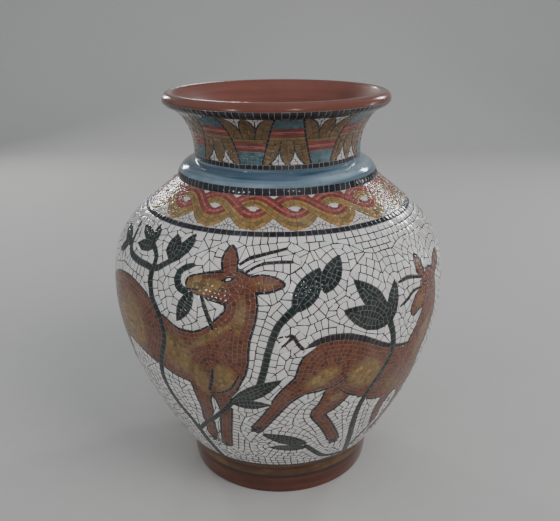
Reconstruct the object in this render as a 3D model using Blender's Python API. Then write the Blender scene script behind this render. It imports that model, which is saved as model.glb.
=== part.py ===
"""A wide-bellied pottery vase, thrown in one piece of earthenware.

From the ground up the turned outline has a low foot, a deep belly that is
widest above the middle, a shoulder, a rounded collar, a waisted neck that
flares, and a rolled lip. The vase is hollow and open at the mouth, with a
true wall. Metres, +Z up, origin on the axis at the underside of the foot.
"""

import bpy
from math import cos, radians, sin

# Heights, stacked from the ground up
FOOT_HEIGHT = 0.0225
BELLY_RISE = 0.1344
SHOULDER_RISE = 0.0817
COLLAR_HEIGHT = 0.0125
NECK_FOOT_HEIGHT = 0.0070
NECK_FLARE_HEIGHT = 0.0369

# Radii of the outside
FOOT_RADIUS = 0.0742
BELLY_RADIUS = 0.1271
COLLAR_RADIUS = 0.0752
NECK_RADIUS = 0.0623
LIP_RING_RADIUS = 0.0788
LIP_TUBE_RADIUS = 0.0050

# The foot leans in towards the ground and has a softened lower edge
FOOT_LEAN = 0.0020
FOOT_EDGE_RADIUS = 0.0012

# Slopes are from the upright, and a hold is how far a curve keeps its slope
UNDERBELLY_SLOPE = radians(40.0)
UNDERBELLY_HOLD = 0.0288
BELLY_HOLD_BELOW = 0.0483
BELLY_HOLD_ABOVE = 0.0452
SHOULDER_SLOPE = radians(50.5)
SHOULDER_HOLD = 0.0500
NECK_HOLD = 0.0190
MOUTH_HOLD = 0.0065

# The rolled lip leaves the neck outside and comes back to it inside
LIP_START = radians(-74.0)
LIP_END = radians(131.0)

# The wall, the floor inside, and the curves that join them
WALL = 0.0055
NECK_WALL = 0.0050
FLOOR = 0.0080
FLOOR_RADIUS = 0.0480
FLOOR_HOLD = 0.0120
THROAT_HOLD = 0.0090
INNER_NECK_HOLD = 0.0190
INNER_MOUTH_HOLD = 0.0100

# How finely each stretch of the outline is divided
SEGMENTS_AROUND = 72
FOOT_EDGE_STEPS = 2
FOOT_STEPS = 2
UNDERBELLY_STEPS = 10
SHOULDER_STEPS = 8
COLLAR_STEPS = 4
NECK_STEPS = 6
LIP_STEPS = 8
INNER_NECK_STEPS = 5
THROAT_STEPS = 3
INNER_SHOULDER_STEPS = 5
INNER_BELLY_STEPS = 7
FLOOR_STEPS = 3

# Heights that follow from the stack
BELLY_Z = FOOT_HEIGHT + BELLY_RISE
SHOULDER_TOP_Z = BELLY_Z + SHOULDER_RISE
NECK_Z = SHOULDER_TOP_Z + COLLAR_HEIGHT + NECK_FOOT_HEIGHT
LIP_Z = NECK_Z + NECK_FLARE_HEIGHT

# The pale glaze that covers most of the clay
GLAZE_COLOUR = (0.52, 0.49, 0.46, 1.0)
GLAZE_ROUGHNESS = 0.22
SHARP_ANGLE = radians(32.0)
MERGE_DISTANCE = 0.00001


def shifted(point, slope, distance):
    """Return a point moved upwards along a slope, which is measured from the upright."""
    return (point[0] + distance * sin(slope), point[1] + distance * cos(slope))


def curve(start, start_hold, end_hold, end, steps, inset=0.0):
    """Return the points of a curve after its start, moved in from it by an inset."""
    points = []
    for step in range(1, steps + 1):
        t = step / steps
        u = 1.0 - t
        place = [u ** 3 * a + 3.0 * u * u * t * b + 3.0 * u * t * t * c + t ** 3 * d
                 for a, b, c, d in zip(start, start_hold, end_hold, end)]
        along = [u * u * (b - a) + 2.0 * u * t * (c - b) + t * t * (d - c)
                 for a, b, c, d in zip(start, start_hold, end_hold, end)]
        length = (along[0] ** 2 + along[1] ** 2) ** 0.5
        place[0] += inset * along[1] / length
        place[1] -= inset * along[0] / length
        points.append(tuple(place))
    return points


def arc(centre, half_width, half_height, begin, finish, steps):
    """Return the points of an arc from one angle to another, both included."""
    points = []
    for step in range(steps + 1):
        angle = begin + (finish - begin) * step / steps
        points.append((centre[0] + half_width * cos(angle), centre[1] + half_height * sin(angle)))
    return points


def foot_outline():
    """Return the underside's centre, the softened edge and the leaning side of the foot."""
    edge = (FOOT_RADIUS - FOOT_LEAN - FOOT_EDGE_RADIUS, FOOT_EDGE_RADIUS)
    points = [(0.0, 0.0)]
    points += arc(edge, FOOT_EDGE_RADIUS, FOOT_EDGE_RADIUS, radians(-90.0), 0.0, FOOT_EDGE_STEPS)
    for step in range(1, FOOT_STEPS + 1):
        share = step / FOOT_STEPS
        height = FOOT_EDGE_RADIUS + (FOOT_HEIGHT - FOOT_EDGE_RADIUS) * share
        points.append((FOOT_RADIUS - FOOT_LEAN * (1.0 - share) ** 2, height))
    return points


def body_curves():
    """Return the two curves of the body, from the collar down to the foot."""
    foot_top = (FOOT_RADIUS, FOOT_HEIGHT)
    belly = (BELLY_RADIUS, BELLY_Z)
    shoulder_top = (COLLAR_RADIUS, SHOULDER_TOP_Z)
    upper = (shoulder_top, shifted(shoulder_top, -SHOULDER_SLOPE, -SHOULDER_HOLD),
             shifted(belly, 0.0, BELLY_HOLD_ABOVE), belly)
    lower = (belly, shifted(belly, 0.0, -BELLY_HOLD_BELOW),
             shifted(foot_top, UNDERBELLY_SLOPE, UNDERBELLY_HOLD), foot_top)
    return upper, lower


def outside():
    """Return the outer outline, from the underside's centre up to the lip's inner edge."""
    upper, lower = body_curves()
    neck = (NECK_RADIUS, NECK_Z)
    collar_centre = (NECK_RADIUS, SHOULDER_TOP_Z)
    lip = arc((LIP_RING_RADIUS, LIP_Z), LIP_TUBE_RADIUS, LIP_TUBE_RADIUS, LIP_START, LIP_END, LIP_STEPS)
    mouth_slope = -LIP_START
    points = foot_outline()
    points += curve(*reversed(lower), UNDERBELLY_STEPS)
    points += curve(*reversed(upper), SHOULDER_STEPS)
    points += arc(collar_centre, COLLAR_RADIUS - NECK_RADIUS, COLLAR_HEIGHT, 0.0, radians(90.0),
                  COLLAR_STEPS)[1:]
    points.append(neck)
    points += curve(neck, shifted(neck, 0.0, NECK_HOLD), shifted(lip[0], mouth_slope, -MOUTH_HOLD),
                    lip[0], NECK_STEPS)
    return points + lip[1:]


def inside(lip_edge):
    """Return the inner outline, from the lip's inner edge down to the floor's centre."""
    upper, lower = body_curves()
    throat = (NECK_RADIUS - NECK_WALL, NECK_Z)
    inner_mouth_slope = radians(180.0) - LIP_END
    shoulder_top = upper[0]
    shoulder_inside = (shoulder_top[0] - WALL * cos(SHOULDER_SLOPE),
                       shoulder_top[1] - WALL * sin(SHOULDER_SLOPE))
    points = curve(lip_edge, shifted(lip_edge, inner_mouth_slope, -INNER_MOUTH_HOLD),
                   shifted(throat, 0.0, INNER_NECK_HOLD), throat, INNER_NECK_STEPS)
    points += curve(throat, shifted(throat, 0.0, -THROAT_HOLD),
                    shifted(shoulder_inside, -SHOULDER_SLOPE, THROAT_HOLD), shoulder_inside, THROAT_STEPS)
    points += curve(*upper, INNER_SHOULDER_STEPS, inset=WALL)
    points += curve(*lower, INNER_BELLY_STEPS, inset=WALL)
    wall_foot = points[-1]
    floor_edge = (FLOOR_RADIUS, FLOOR)
    points += curve(wall_foot, shifted(wall_foot, UNDERBELLY_SLOPE, -FLOOR_HOLD),
                    (FLOOR_RADIUS + FLOOR_HOLD, FLOOR), floor_edge, FLOOR_STEPS)
    points.append((0.0, FLOOR))
    return points


def glaze_material():
    """Return the pale glaze as a plain material."""
    material = bpy.data.materials.new("glazed_earthenware")
    material.use_nodes = True
    shader = material.node_tree.nodes["Principled BSDF"]
    shader.inputs["Base Color"].default_value = GLAZE_COLOUR
    shader.inputs["Roughness"].default_value = GLAZE_ROUGHNESS
    shader.inputs["Metallic"].default_value = 0.0
    return material


def make_vase():
    """Turn the closed outline round the axis into one hollow solid."""
    outer = outside()
    outline = outer + inside(outer[-1])
    outline.reverse()
    mesh = bpy.data.meshes.new("vase")
    edges = [(index, index + 1) for index in range(len(outline) - 1)]
    mesh.from_pydata([(radius, 0.0, height) for radius, height in outline], edges, [])
    mesh.materials.append(glaze_material())
    vase = bpy.data.objects.new("vase", mesh)
    bpy.context.scene.collection.objects.link(vase)
    turn = vase.modifiers.new("turn", "SCREW")
    turn.axis = "Z"
    turn.angle = radians(360.0)
    turn.screw_offset = 0.0
    turn.steps = SEGMENTS_AROUND
    turn.render_steps = SEGMENTS_AROUND
    turn.use_merge_vertices = True
    turn.merge_threshold = MERGE_DISTANCE
    turned = bpy.data.meshes.new_from_object(vase.evaluated_get(bpy.context.evaluated_depsgraph_get()))
    vase.modifiers.clear()
    vase.data = turned
    turned.name = "vase"
    turned.shade_smooth()
    turned.set_sharp_from_angle(angle=SHARP_ANGLE)
    return vase


for item in list(bpy.data.objects):
    bpy.data.objects.remove(item, do_unlink=True)

make_vase()
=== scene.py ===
"""Dresses the pottery vase: glazed clay, a mosaic of small glazed tesserae, and a studio.

The turned clay body is made again with a finer outline and is parted into its
glaze zones. The tesserae are laid on it as real low relief: each one is a small
bevelled tile that stands on the clay and shows the clay's line colour at its foot.
Lengths are in metres, except on the drawing plane, which is in millimetres.
"""

import logging
from collections.abc import Callable
from dataclasses import dataclass, field
from enum import Enum
from itertools import product
from math import cos, pi, radians, sin, tau

import bpy
import numpy as np
from mathutils import Euler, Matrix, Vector

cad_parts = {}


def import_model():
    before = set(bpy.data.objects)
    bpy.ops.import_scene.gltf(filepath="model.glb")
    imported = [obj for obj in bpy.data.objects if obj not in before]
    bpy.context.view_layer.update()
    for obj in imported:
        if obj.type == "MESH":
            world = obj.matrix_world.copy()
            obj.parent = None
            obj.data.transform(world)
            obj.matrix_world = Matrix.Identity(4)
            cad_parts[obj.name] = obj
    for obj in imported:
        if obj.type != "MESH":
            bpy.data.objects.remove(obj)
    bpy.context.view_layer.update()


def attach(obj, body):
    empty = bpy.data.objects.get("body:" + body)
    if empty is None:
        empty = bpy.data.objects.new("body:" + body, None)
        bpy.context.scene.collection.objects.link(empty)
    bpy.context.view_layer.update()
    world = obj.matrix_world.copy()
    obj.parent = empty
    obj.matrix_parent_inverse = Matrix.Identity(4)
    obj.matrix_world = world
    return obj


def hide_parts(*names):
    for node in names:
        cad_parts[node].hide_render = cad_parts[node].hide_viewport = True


LOG = logging.getLogger("vase")
PLANE_RADIUS = 120.0
"""Radius, in millimetres, at which the drawing plane has the vase's true scale."""
SAME_CORNER = 0.1
"""Distance on the plane within which two corners count as one."""
TINY = 1e-6
"""What a length is never less than where something is divided by it."""
BLUNTEST = 0.4
"""Least that sides count as facing one way, so that no corner is moved too far."""

Point = tuple[float, float]
Colour = tuple[float, float, float]


# Shader nodes


def operators(operation: str) -> tuple[Callable, Callable]:
    """Make an operator of channels and its reflected form.

    Args:
        operation: The Math node's operation.

    Returns:
        The operator and its reflected form, which each add one Math node.
    """

    def plain(first: "Channel", second: "Channel | float") -> "Channel":
        """Return the result with the channel first."""
        return first.graph.maths(operation, first, second)

    def reflected(second: "Channel", first: "Channel | float") -> "Channel":
        """Return the result with the channel second."""
        return second.graph.maths(operation, first, second)

    return plain, reflected


@dataclass(frozen=True)
class Channel:
    """A node socket that can be used in plain arithmetic."""

    graph: "Graph"
    socket: bpy.types.NodeSocket

    __add__, __radd__ = operators("ADD")
    __sub__, __rsub__ = operators("SUBTRACT")
    __mul__, __rmul__ = operators("MULTIPLY")
    __pow__, __rpow__ = operators("POWER")

    def over(self, low: float, high: float) -> "Channel":
        """Return how far the value is from low to high, kept between 0 and 1.

        Args:
            low: The value that gives 0.
            high: The value that gives 1.

        Returns:
            The clamped share.
        """
        return self.graph.node("ShaderNodeMapRange", "Result", {"clamp": True},
                               {"Value": self, "From Min": low, "From Max": high})


class Graph:
    """The node graph of one material.

    A Mix node has sockets for each type of value; the ones for colours go by number.
    """

    mix_inputs = (0, 6, 7)
    mix_output = 2
    plain_scale = (1.0, 1.0, 1.0)

    def __init__(self, name: str) -> None:
        """Make a material with one Principled shader.

        Args:
            name: The material's name.
        """
        self.material = bpy.data.materials.new(name)
        self.material.use_nodes = True
        self.tree = self.material.node_tree
        self.shader = self.tree.nodes["Principled BSDF"]

    def node(self, kind: str, output: str | int, settings: dict | None = None,
             inputs: dict | None = None) -> Channel:
        """Make any node.

        Args:
            kind: The node's type.
            output: The output that is wanted, by name or number.
            settings: Properties, set before the inputs.
            inputs: Socket values or channels, by socket name or number.

        Returns:
            The output.
        """
        made = self.tree.nodes.new(kind)
        for key, value in (settings or {}).items():
            setattr(made, key, value)
        for key, value in (inputs or {}).items():
            self.feed(made.inputs[key], value)
        return Channel(self, made.outputs[output])

    def feed(self, socket: bpy.types.NodeSocket, value: Channel | float | tuple) -> None:
        """Link a channel into a socket, or set the socket's value.

        Args:
            socket: The input socket.
            value: What goes in; a colour has three values.
        """
        if isinstance(value, Channel):
            self.tree.links.new(value.socket, socket)
        elif socket.type == "RGBA":
            socket.default_value = (*value, 1.0)
        else:
            socket.default_value = value

    def surface(self, name: str, value: Channel | float) -> None:
        """Feed one of the shader's inputs."""
        self.feed(self.shader.inputs[name], value)

    def maths(self, operation: str, *values: Channel | float) -> Channel:
        """Return the result of a Math node."""
        return self.node("ShaderNodeMath", "Value", {"operation": operation}, dict(enumerate(values)))

    def mix(self, factor: Channel | float, first: Channel | Colour, second: Channel | Colour,
            blend: str = "MIX") -> Channel:
        """Mix two colours.

        Args:
            factor: How much of the second colour there is.
            first: The first colour.
            second: The second colour.
            blend: The blend type.

        Returns:
            The mixed colour.
        """
        settings = {"data_type": "RGBA", "blend_type": blend, "clamp_factor": True}
        inputs = dict(zip(self.mix_inputs, (factor, first, second)))
        return self.node("ShaderNodeMix", self.mix_output, settings, inputs)

    def parts(self, place: Channel) -> list[Channel]:
        """Return X, Y and Z of coordinates."""
        made = self.node("ShaderNodeSeparateXYZ", "X", inputs={"Vector": place}).socket.node
        return [Channel(self, made.outputs[axis]) for axis in "XYZ"]

    def stretched(self, scale: tuple[float, float, float] = plain_scale, turned: bool = False) -> Channel:
        """Return object coordinates, scaled, or unrolled round the axis and then scaled.

        Args:
            scale: The factors.
            turned: Whether the place is unrolled into angle, height and radius.

        Returns:
            The coordinates.
        """
        place = self.node("ShaderNodeTexCoord", "Object")
        if turned:
            x, y, z = self.parts(place)
            unrolled = {"X": self.maths("ARCTAN2", y, x), "Y": z, "Z": (x * x + y * y) ** 0.5}
            place = self.node("ShaderNodeCombineXYZ", "Vector", inputs=unrolled)
        return self.node("ShaderNodeVectorMath", "Vector", {"operation": "MULTIPLY"}, {0: place, 1: scale})

    def noise(self, where: Channel, scale: float, detail: float = 3.0, roughness: float = 0.55) -> Channel:
        """Return a noise value.

        Args:
            where: The coordinates.
            scale: Waves per metre of the coordinates.
            detail: Octaves.
            roughness: How strong the finer octaves are.

        Returns:
            The noise, from 0 to 1.
        """
        inputs = {"Vector": where, "Scale": scale, "Detail": detail, "Roughness": roughness}
        return self.node("ShaderNodeTexNoise", "Fac", inputs=inputs)

    def bump(self, height: Channel, strength: float, distance: float) -> None:
        """Feed a bump into the shader's normal.

        Args:
            height: The height map.
            strength: The bump's strength.
            distance: The height in metres that 1 stands for.
        """
        inputs = {"Strength": strength, "Distance": distance, "Height": height}
        self.surface("Normal", self.node("ShaderNodeBump", "Normal", inputs=inputs))


@dataclass(frozen=True)
class GlazeFinish:
    """How a zone of plain glaze looks.

    Streaks are brushed round the pot, so many waves up a metre and round a radian.
    The bloom is how strongly the light colour pools. A spread is the two values of a
    noise that count as none and all of it, and the relief says how much the streaks,
    the mottle and the fine spots each raise the surface. A zone can have a dark line along its
    lower and its upper edge; low_line and high_line say how far from the edge it fades.
    """

    name: str
    base: Colour
    dark: Colour
    light: Colour
    roughness: tuple[float, float] = (0.12, 0.24)
    streaks_up: float = 420.0
    streaks_round: float = 1.2
    streak_strength: float = 0.6
    mottle_scale: float = 28.0
    bump_height: float = 0.00016
    coat: float = 0.2
    coat_roughness: float = 0.06
    bloom: float = 0.55
    spread: tuple[float, float] = (0.3, 0.7)
    pool_scale: float = 0.37
    pool_spread: tuple[float, float] = (0.42, 0.62)
    spot_ratio: float = 9.0
    spot_spread: tuple[float, float] = (0.62, 0.8)
    spot_strength: float = 0.35
    relief: tuple[float, float, float] = (0.6, 0.4, 0.15)
    bump_strength: float = 0.8
    low_line: tuple[float, float] = (0.0031, 0.0025)
    high_line: tuple[float, float] = (0.0024, 0.0017)
    line_waver: float = 0.0004

    def material(self, edges: tuple[float, ...] = ()) -> bpy.types.Material:
        """Make a glaze brushed round the turning pot, with pooled and thin places.

        Args:
            edges: The heights of the zone's two edges, if they have dark lines.

        Returns:
            The material.
        """
        graph = Graph(self.name)
        unrolled = graph.stretched((self.streaks_round, self.streaks_up, 1.0), turned=True)
        place = graph.stretched()
        streak = graph.noise(unrolled, 1.0, 5.0, 0.6).over(*self.spread)
        mottle = graph.noise(place, self.mottle_scale, 4.0, 0.6).over(*self.spread)
        spots = graph.noise(place, self.mottle_scale * self.spot_ratio, 2.0)
        pools = graph.noise(unrolled, self.pool_scale, 3.0, 0.5).over(*self.pool_spread)
        colour = graph.mix(streak * self.streak_strength, self.base, self.dark)
        colour = graph.mix(mottle * pools * self.bloom, colour, self.light)
        colour = graph.mix(spots.over(*self.spot_spread) * self.spot_strength, colour, self.dark)
        if edges:
            low, high = edges
            wavy = graph.parts(place)[2] + (streak - 0.5) * self.line_waver
            line = wavy.over(*(low + off for off in self.low_line))
            line = line + wavy.over(*(high - off for off in self.high_line))
            colour = graph.mix(line, colour, MAROON_LINE)
        low, high = self.roughness
        graph.surface("Base Color", colour)
        graph.surface("Roughness", mottle * (high - low) + low)
        of_streaks, of_mottle, of_spots = self.relief
        height = streak * of_streaks + mottle * of_mottle + spots * of_spots
        graph.bump(height, self.bump_strength, self.bump_height)
        graph.surface("Coat Weight", self.coat)
        graph.surface("Coat Roughness", self.coat_roughness)
        return graph.material


class Glaze(Enum):
    """The plain glazes of the vase."""

    TERRACOTTA = GlazeFinish("terracotta_glaze", (0.165, 0.050, 0.031), (0.085, 0.027, 0.019),
                             (0.22, 0.08, 0.052))
    # The foot's glaze is the terracotta glaze made darker: painted shade under the belly, where little light
    # reaches. Its streaks and mottle are the glaze's own.
    FOOT = GlazeFinish("shaded_foot_glaze", (0.102, 0.028, 0.015), (0.048, 0.015, 0.010), (0.17, 0.056, 0.032),
                       streaks_round=2.4, streak_strength=0.7, mottle_scale=34.0, bloom=0.75)
    INNER = GlazeFinish("inner_terracotta_glaze", (0.195, 0.060, 0.040), (0.105, 0.034, 0.026),
                        (0.25, 0.095, 0.064), roughness=(0.34, 0.5), bump_height=0.00010, coat=0.0)
    BLUE = GlazeFinish("blue_glaze", (0.135, 0.190, 0.250), (0.034, 0.078, 0.118), (0.30, 0.39, 0.44),
                       roughness=(0.08, 0.16), streaks_up=480.0, streaks_round=1.3, streak_strength=1.0,
                       mottle_scale=22.0, bump_height=0.00012, coat=0.3, bloom=1.0)
    BRUSHED = GlazeFinish("brushed_band_glaze", (0.098, 0.038, 0.018), (0.040, 0.018, 0.012),
                          (0.19, 0.11, 0.04), streaks_up=500.0, streaks_round=5.0, streak_strength=0.65,
                          mottle_scale=60.0, bump_height=0.00012, bloom=0.9)
    JOINT = GlazeFinish("joint_glaze", (0.075, 0.036, 0.03), (0.03, 0.018, 0.018), (0.12, 0.07, 0.055),
                        roughness=(0.25, 0.45), streaks_up=300.0, streaks_round=3.0, streak_strength=0.5,
                        mottle_scale=80.0, bump_height=0.00008, coat=0.0)


@dataclass(frozen=True)
class TesseraFinish:
    """How laid tesserae look, whose colour comes with each tessera.

    The mottle is how strongly the colour varies inside a tessera, and the wave is
    how high the glaze's waves are in metres. Scales are waves per metre, shares are
    of the mottle, and a spread is the two values of a noise that count as none and
    all of it.
    """

    name: str = "tessera_glaze"
    roughness: tuple[float, float] = (0.07, 0.16)
    mottle: float = 0.45
    wave: float = 0.00006
    shade: Colour = (0.62, 0.6, 0.6)
    haze: Colour = (0.85, 0.83, 0.8)
    haze_strength: float = 0.16
    cloud_scale: float = 55.0
    cloud_spread: tuple[float, float] = (0.45, 0.8)
    cloud_share: float = 0.7
    gloss_spread: tuple[float, float] = (0.3, 0.7)
    grain_scale: float = 900.0
    grain_spread: tuple[float, float] = (0.35, 0.75)
    grain_relief: float = 0.12
    speck_scale: float = 2600.0
    speck_spread: tuple[float, float] = (0.66, 0.74)
    speck_share: float = 0.8
    wave_scale: float = 240.0
    bump_strength: float = 0.7

    def material(self) -> bpy.types.Material:
        """Make the glaze.

        Returns:
            The material.
        """
        graph = Graph(self.name)
        tint = graph.node("ShaderNodeAttribute", "Color", {"attribute_name": "tint"})
        place = graph.stretched()
        cloud = graph.noise(place, self.cloud_scale, 3.0)
        grain = graph.noise(place, self.grain_scale, 3.0, 0.65)
        speck = graph.noise(place, self.speck_scale, 1.0).over(*self.speck_spread)
        darker = graph.mix(1.0, tint, self.shade, "MULTIPLY")
        lighter = graph.mix(self.haze_strength, tint, self.haze)
        colour = graph.mix(grain.over(*self.grain_spread) * self.mottle, tint, darker)
        clouds = cloud.over(*self.cloud_spread) * self.mottle * self.cloud_share
        colour = graph.mix(clouds, colour, lighter)
        colour = graph.mix(speck * self.mottle * self.speck_share, colour, darker)
        low, high = self.roughness
        graph.surface("Base Color", colour)
        graph.surface("Roughness", cloud.over(*self.gloss_spread) * (high - low) + low)
        waves = graph.noise(place, self.wave_scale, 2.0)
        graph.bump(waves + grain * self.grain_relief, self.bump_strength, self.wave)
        return graph.material


@dataclass(frozen=True)
class PaperFinish:
    """How the studio's floor looks."""

    name: str = "floor_paper"
    dark: Colour = (0.47, 0.46, 0.44)
    light: Colour = (0.53, 0.52, 0.50)
    roughness: float = 0.75
    grain_scale: float = 60.0
    grain_strength: float = 0.5

    def material(self) -> bpy.types.Material:
        """Make the paper.

        Returns:
            The material.
        """
        graph = Graph(self.name)
        grain = graph.noise(graph.stretched(), self.grain_scale, 4.0)
        graph.surface("Base Color", graph.mix(grain * self.grain_strength, self.dark, self.light))
        graph.surface("Roughness", self.roughness)
        return graph.material


# The turned outline


def shifted(point: Point, slope: float, distance: float) -> Point:
    """Return a point moved upwards along a slope, which is measured from the upright."""
    return (point[0] + distance * sin(slope), point[1] + distance * cos(slope))


def curve(start: Point, start_hold: Point, end_hold: Point, end: Point, steps: int,
          inset: float = 0.0) -> list[Point]:
    """Return the points of a cubic curve after its start.

    Args:
        start: Its first point.
        start_hold: The point that it leaves towards.
        end_hold: The point that it arrives from.
        end: Its last point.
        steps: How many points.
        inset: How far the points are moved in, square to the curve.

    Returns:
        Radius and height of each point.
    """
    points = []
    for step in range(1, steps + 1):
        t = step / steps
        u = 1.0 - t
        place = [u ** 3 * a + 3.0 * u * u * t * b + 3.0 * u * t * t * c + t ** 3 * d
                 for a, b, c, d in zip(start, start_hold, end_hold, end)]
        along = [u * u * (b - a) + 2.0 * u * t * (c - b) + t * t * (d - c)
                 for a, b, c, d in zip(start, start_hold, end_hold, end)]
        length = (along[0] ** 2 + along[1] ** 2) ** 0.5
        points.append((place[0] + inset * along[1] / length, place[1] - inset * along[0] / length))
    return points


def arc(centre: Point, half_width: float, half_height: float, begin: float, finish: float,
        steps: int) -> list[Point]:
    """Return the points of an arc from one angle to another, both included.

    Args:
        centre: Its middle.
        half_width: How far it reaches sideways.
        half_height: How far it reaches up.
        begin: The first angle.
        finish: The last angle.
        steps: How many stretches it has.

    Returns:
        Radius and height of each point.
    """
    angles = [begin + (finish - begin) * step / steps for step in range(steps + 1)]
    return [(centre[0] + half_width * cos(angle), centre[1] + half_height * sin(angle)) for angle in angles]


@dataclass(frozen=True)
class Outline:
    """The sizes of the turned clay body, and its outline.

    A slope is measured from the upright, a hold is how far a curve keeps its slope,
    and the steps are how many stretches each part of the outline has.
    """

    foot_height: float = 0.0225
    belly_rise: float = 0.1344
    shoulder_rise: float = 0.0817
    collar_height: float = 0.0125
    neck_foot_height: float = 0.0070
    neck_flare_height: float = 0.0369
    foot_radius: float = 0.0742
    belly_radius: float = 0.1271
    collar_radius: float = 0.0752
    neck_radius: float = 0.0623
    lip_ring_radius: float = 0.0788
    lip_tube_radius: float = 0.0050
    foot_lean: float = 0.0020
    foot_edge_radius: float = 0.0012
    underbelly_slope: float = radians(40.0)
    underbelly_hold: float = 0.0288
    belly_hold_below: float = 0.0483
    belly_hold_above: float = 0.0452
    shoulder_slope: float = radians(50.5)
    shoulder_hold: float = 0.0500
    neck_hold: float = 0.0190
    mouth_hold: float = 0.0065
    lip_start: float = radians(-74.0)
    lip_end: float = radians(131.0)
    wall: float = 0.0055
    neck_wall: float = 0.0050
    floor: float = 0.0080
    floor_radius: float = 0.0480
    floor_hold: float = 0.0120
    throat_hold: float = 0.0090
    inner_neck_hold: float = 0.0190
    inner_mouth_hold: float = 0.0100
    foot_edge_steps: int = 6
    foot_steps: int = 12
    underbelly_steps: int = 110
    shoulder_steps: int = 90
    collar_steps: int = 28
    neck_foot_steps: int = 7
    neck_steps: int = 64
    lip_steps: int = 44
    inner_neck_steps: int = 30
    throat_steps: int = 12
    inner_body_steps: int = 24
    floor_steps: int = 8

    @property
    def belly(self) -> Point:
        """The widest point."""
        return (self.belly_radius, self.foot_height + self.belly_rise)

    @property
    def shoulder_top(self) -> Point:
        """The point where the shoulder meets the collar."""
        return (self.collar_radius, self.belly[1] + self.shoulder_rise)

    @property
    def neck(self) -> Point:
        """The neck's waist."""
        return (self.neck_radius, self.shoulder_top[1] + self.collar_height + self.neck_foot_height)

    @property
    def lip_z(self) -> float:
        """The height of the lip tube's middle."""
        return self.neck[1] + self.neck_flare_height

    def lip_arc(self) -> list[Point]:
        """Return the rolled lip, from under its outer side over the top to its inner side."""
        centre, tube = (self.lip_ring_radius, self.lip_z), self.lip_tube_radius
        return arc(centre, tube, tube, self.lip_start, self.lip_end, self.lip_steps)

    def body_curves(self) -> tuple[tuple, tuple]:
        """Work out the two curves of the body, from the foot up.

        Returns:
            The four points that set each curve.
        """
        foot_top = (self.foot_radius, self.foot_height)
        belly, top = self.belly, self.shoulder_top
        lower = (foot_top, shifted(foot_top, self.underbelly_slope, self.underbelly_hold),
                 shifted(belly, 0.0, -self.belly_hold_below), belly)
        upper = (belly, shifted(belly, 0.0, self.belly_hold_above),
                 shifted(top, -self.shoulder_slope, -self.shoulder_hold), top)
        return lower, upper

    def outside(self) -> list[Point]:
        """Work out the outer outline.

        Returns:
            Its points, from the ground up to the lip's inner edge.
        """
        lower, upper = self.body_curves()
        top, neck, lip = self.shoulder_top, self.neck, self.lip_arc()
        edge = self.foot_edge_radius
        edge_centre = (self.foot_radius - self.foot_lean - edge, edge)
        points = arc(edge_centre, edge, edge, -pi / 2.0, 0.0, self.foot_edge_steps)
        for step in range(1, self.foot_steps + 1):
            share = step / self.foot_steps
            points.append((self.foot_radius - self.foot_lean * (1.0 - share) ** 2,
                           edge + (self.foot_height - edge) * share))
        points += curve(*lower, self.underbelly_steps)
        points += curve(*upper, self.shoulder_steps)
        points += arc((self.neck_radius, top[1]), self.collar_radius - self.neck_radius, self.collar_height,
                      0.0, pi / 2.0, self.collar_steps)[1:]
        for step in range(1, self.neck_foot_steps + 1):
            rise = self.neck_foot_height * step / self.neck_foot_steps
            points.append((self.neck_radius, top[1] + self.collar_height + rise))
        points += curve(neck, shifted(neck, 0.0, self.neck_hold),
                        shifted(lip[0], -self.lip_start, -self.mouth_hold), lip[0], self.neck_steps)
        return points + lip[1:]

    def inside(self) -> list[Point]:
        """Work out the inner outline.

        Returns:
            Its points, from the lip's inner edge down to the floor.
        """
        lower, upper = self.body_curves()
        edge, top = self.lip_arc()[-1], self.shoulder_top
        throat = (self.neck_radius - self.neck_wall, self.neck[1])
        under = (top[0] - self.wall * cos(self.shoulder_slope), top[1] - self.wall * sin(self.shoulder_slope))
        points = curve(edge, shifted(edge, pi - self.lip_end, -self.inner_mouth_hold),
                       shifted(throat, 0.0, self.inner_neck_hold), throat, self.inner_neck_steps)
        points += curve(throat, shifted(throat, 0.0, -self.throat_hold),
                        shifted(under, -self.shoulder_slope, self.throat_hold), under, self.throat_steps)
        for part in (upper, lower):
            points += curve(*reversed(part), self.inner_body_steps, self.wall)
        wall_foot = points[-1]
        points += curve(wall_foot, shifted(wall_foot, self.underbelly_slope, -self.floor_hold),
                        (self.floor_radius + self.floor_hold, self.floor), (self.floor_radius, self.floor),
                        self.floor_steps)
        return points


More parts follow.
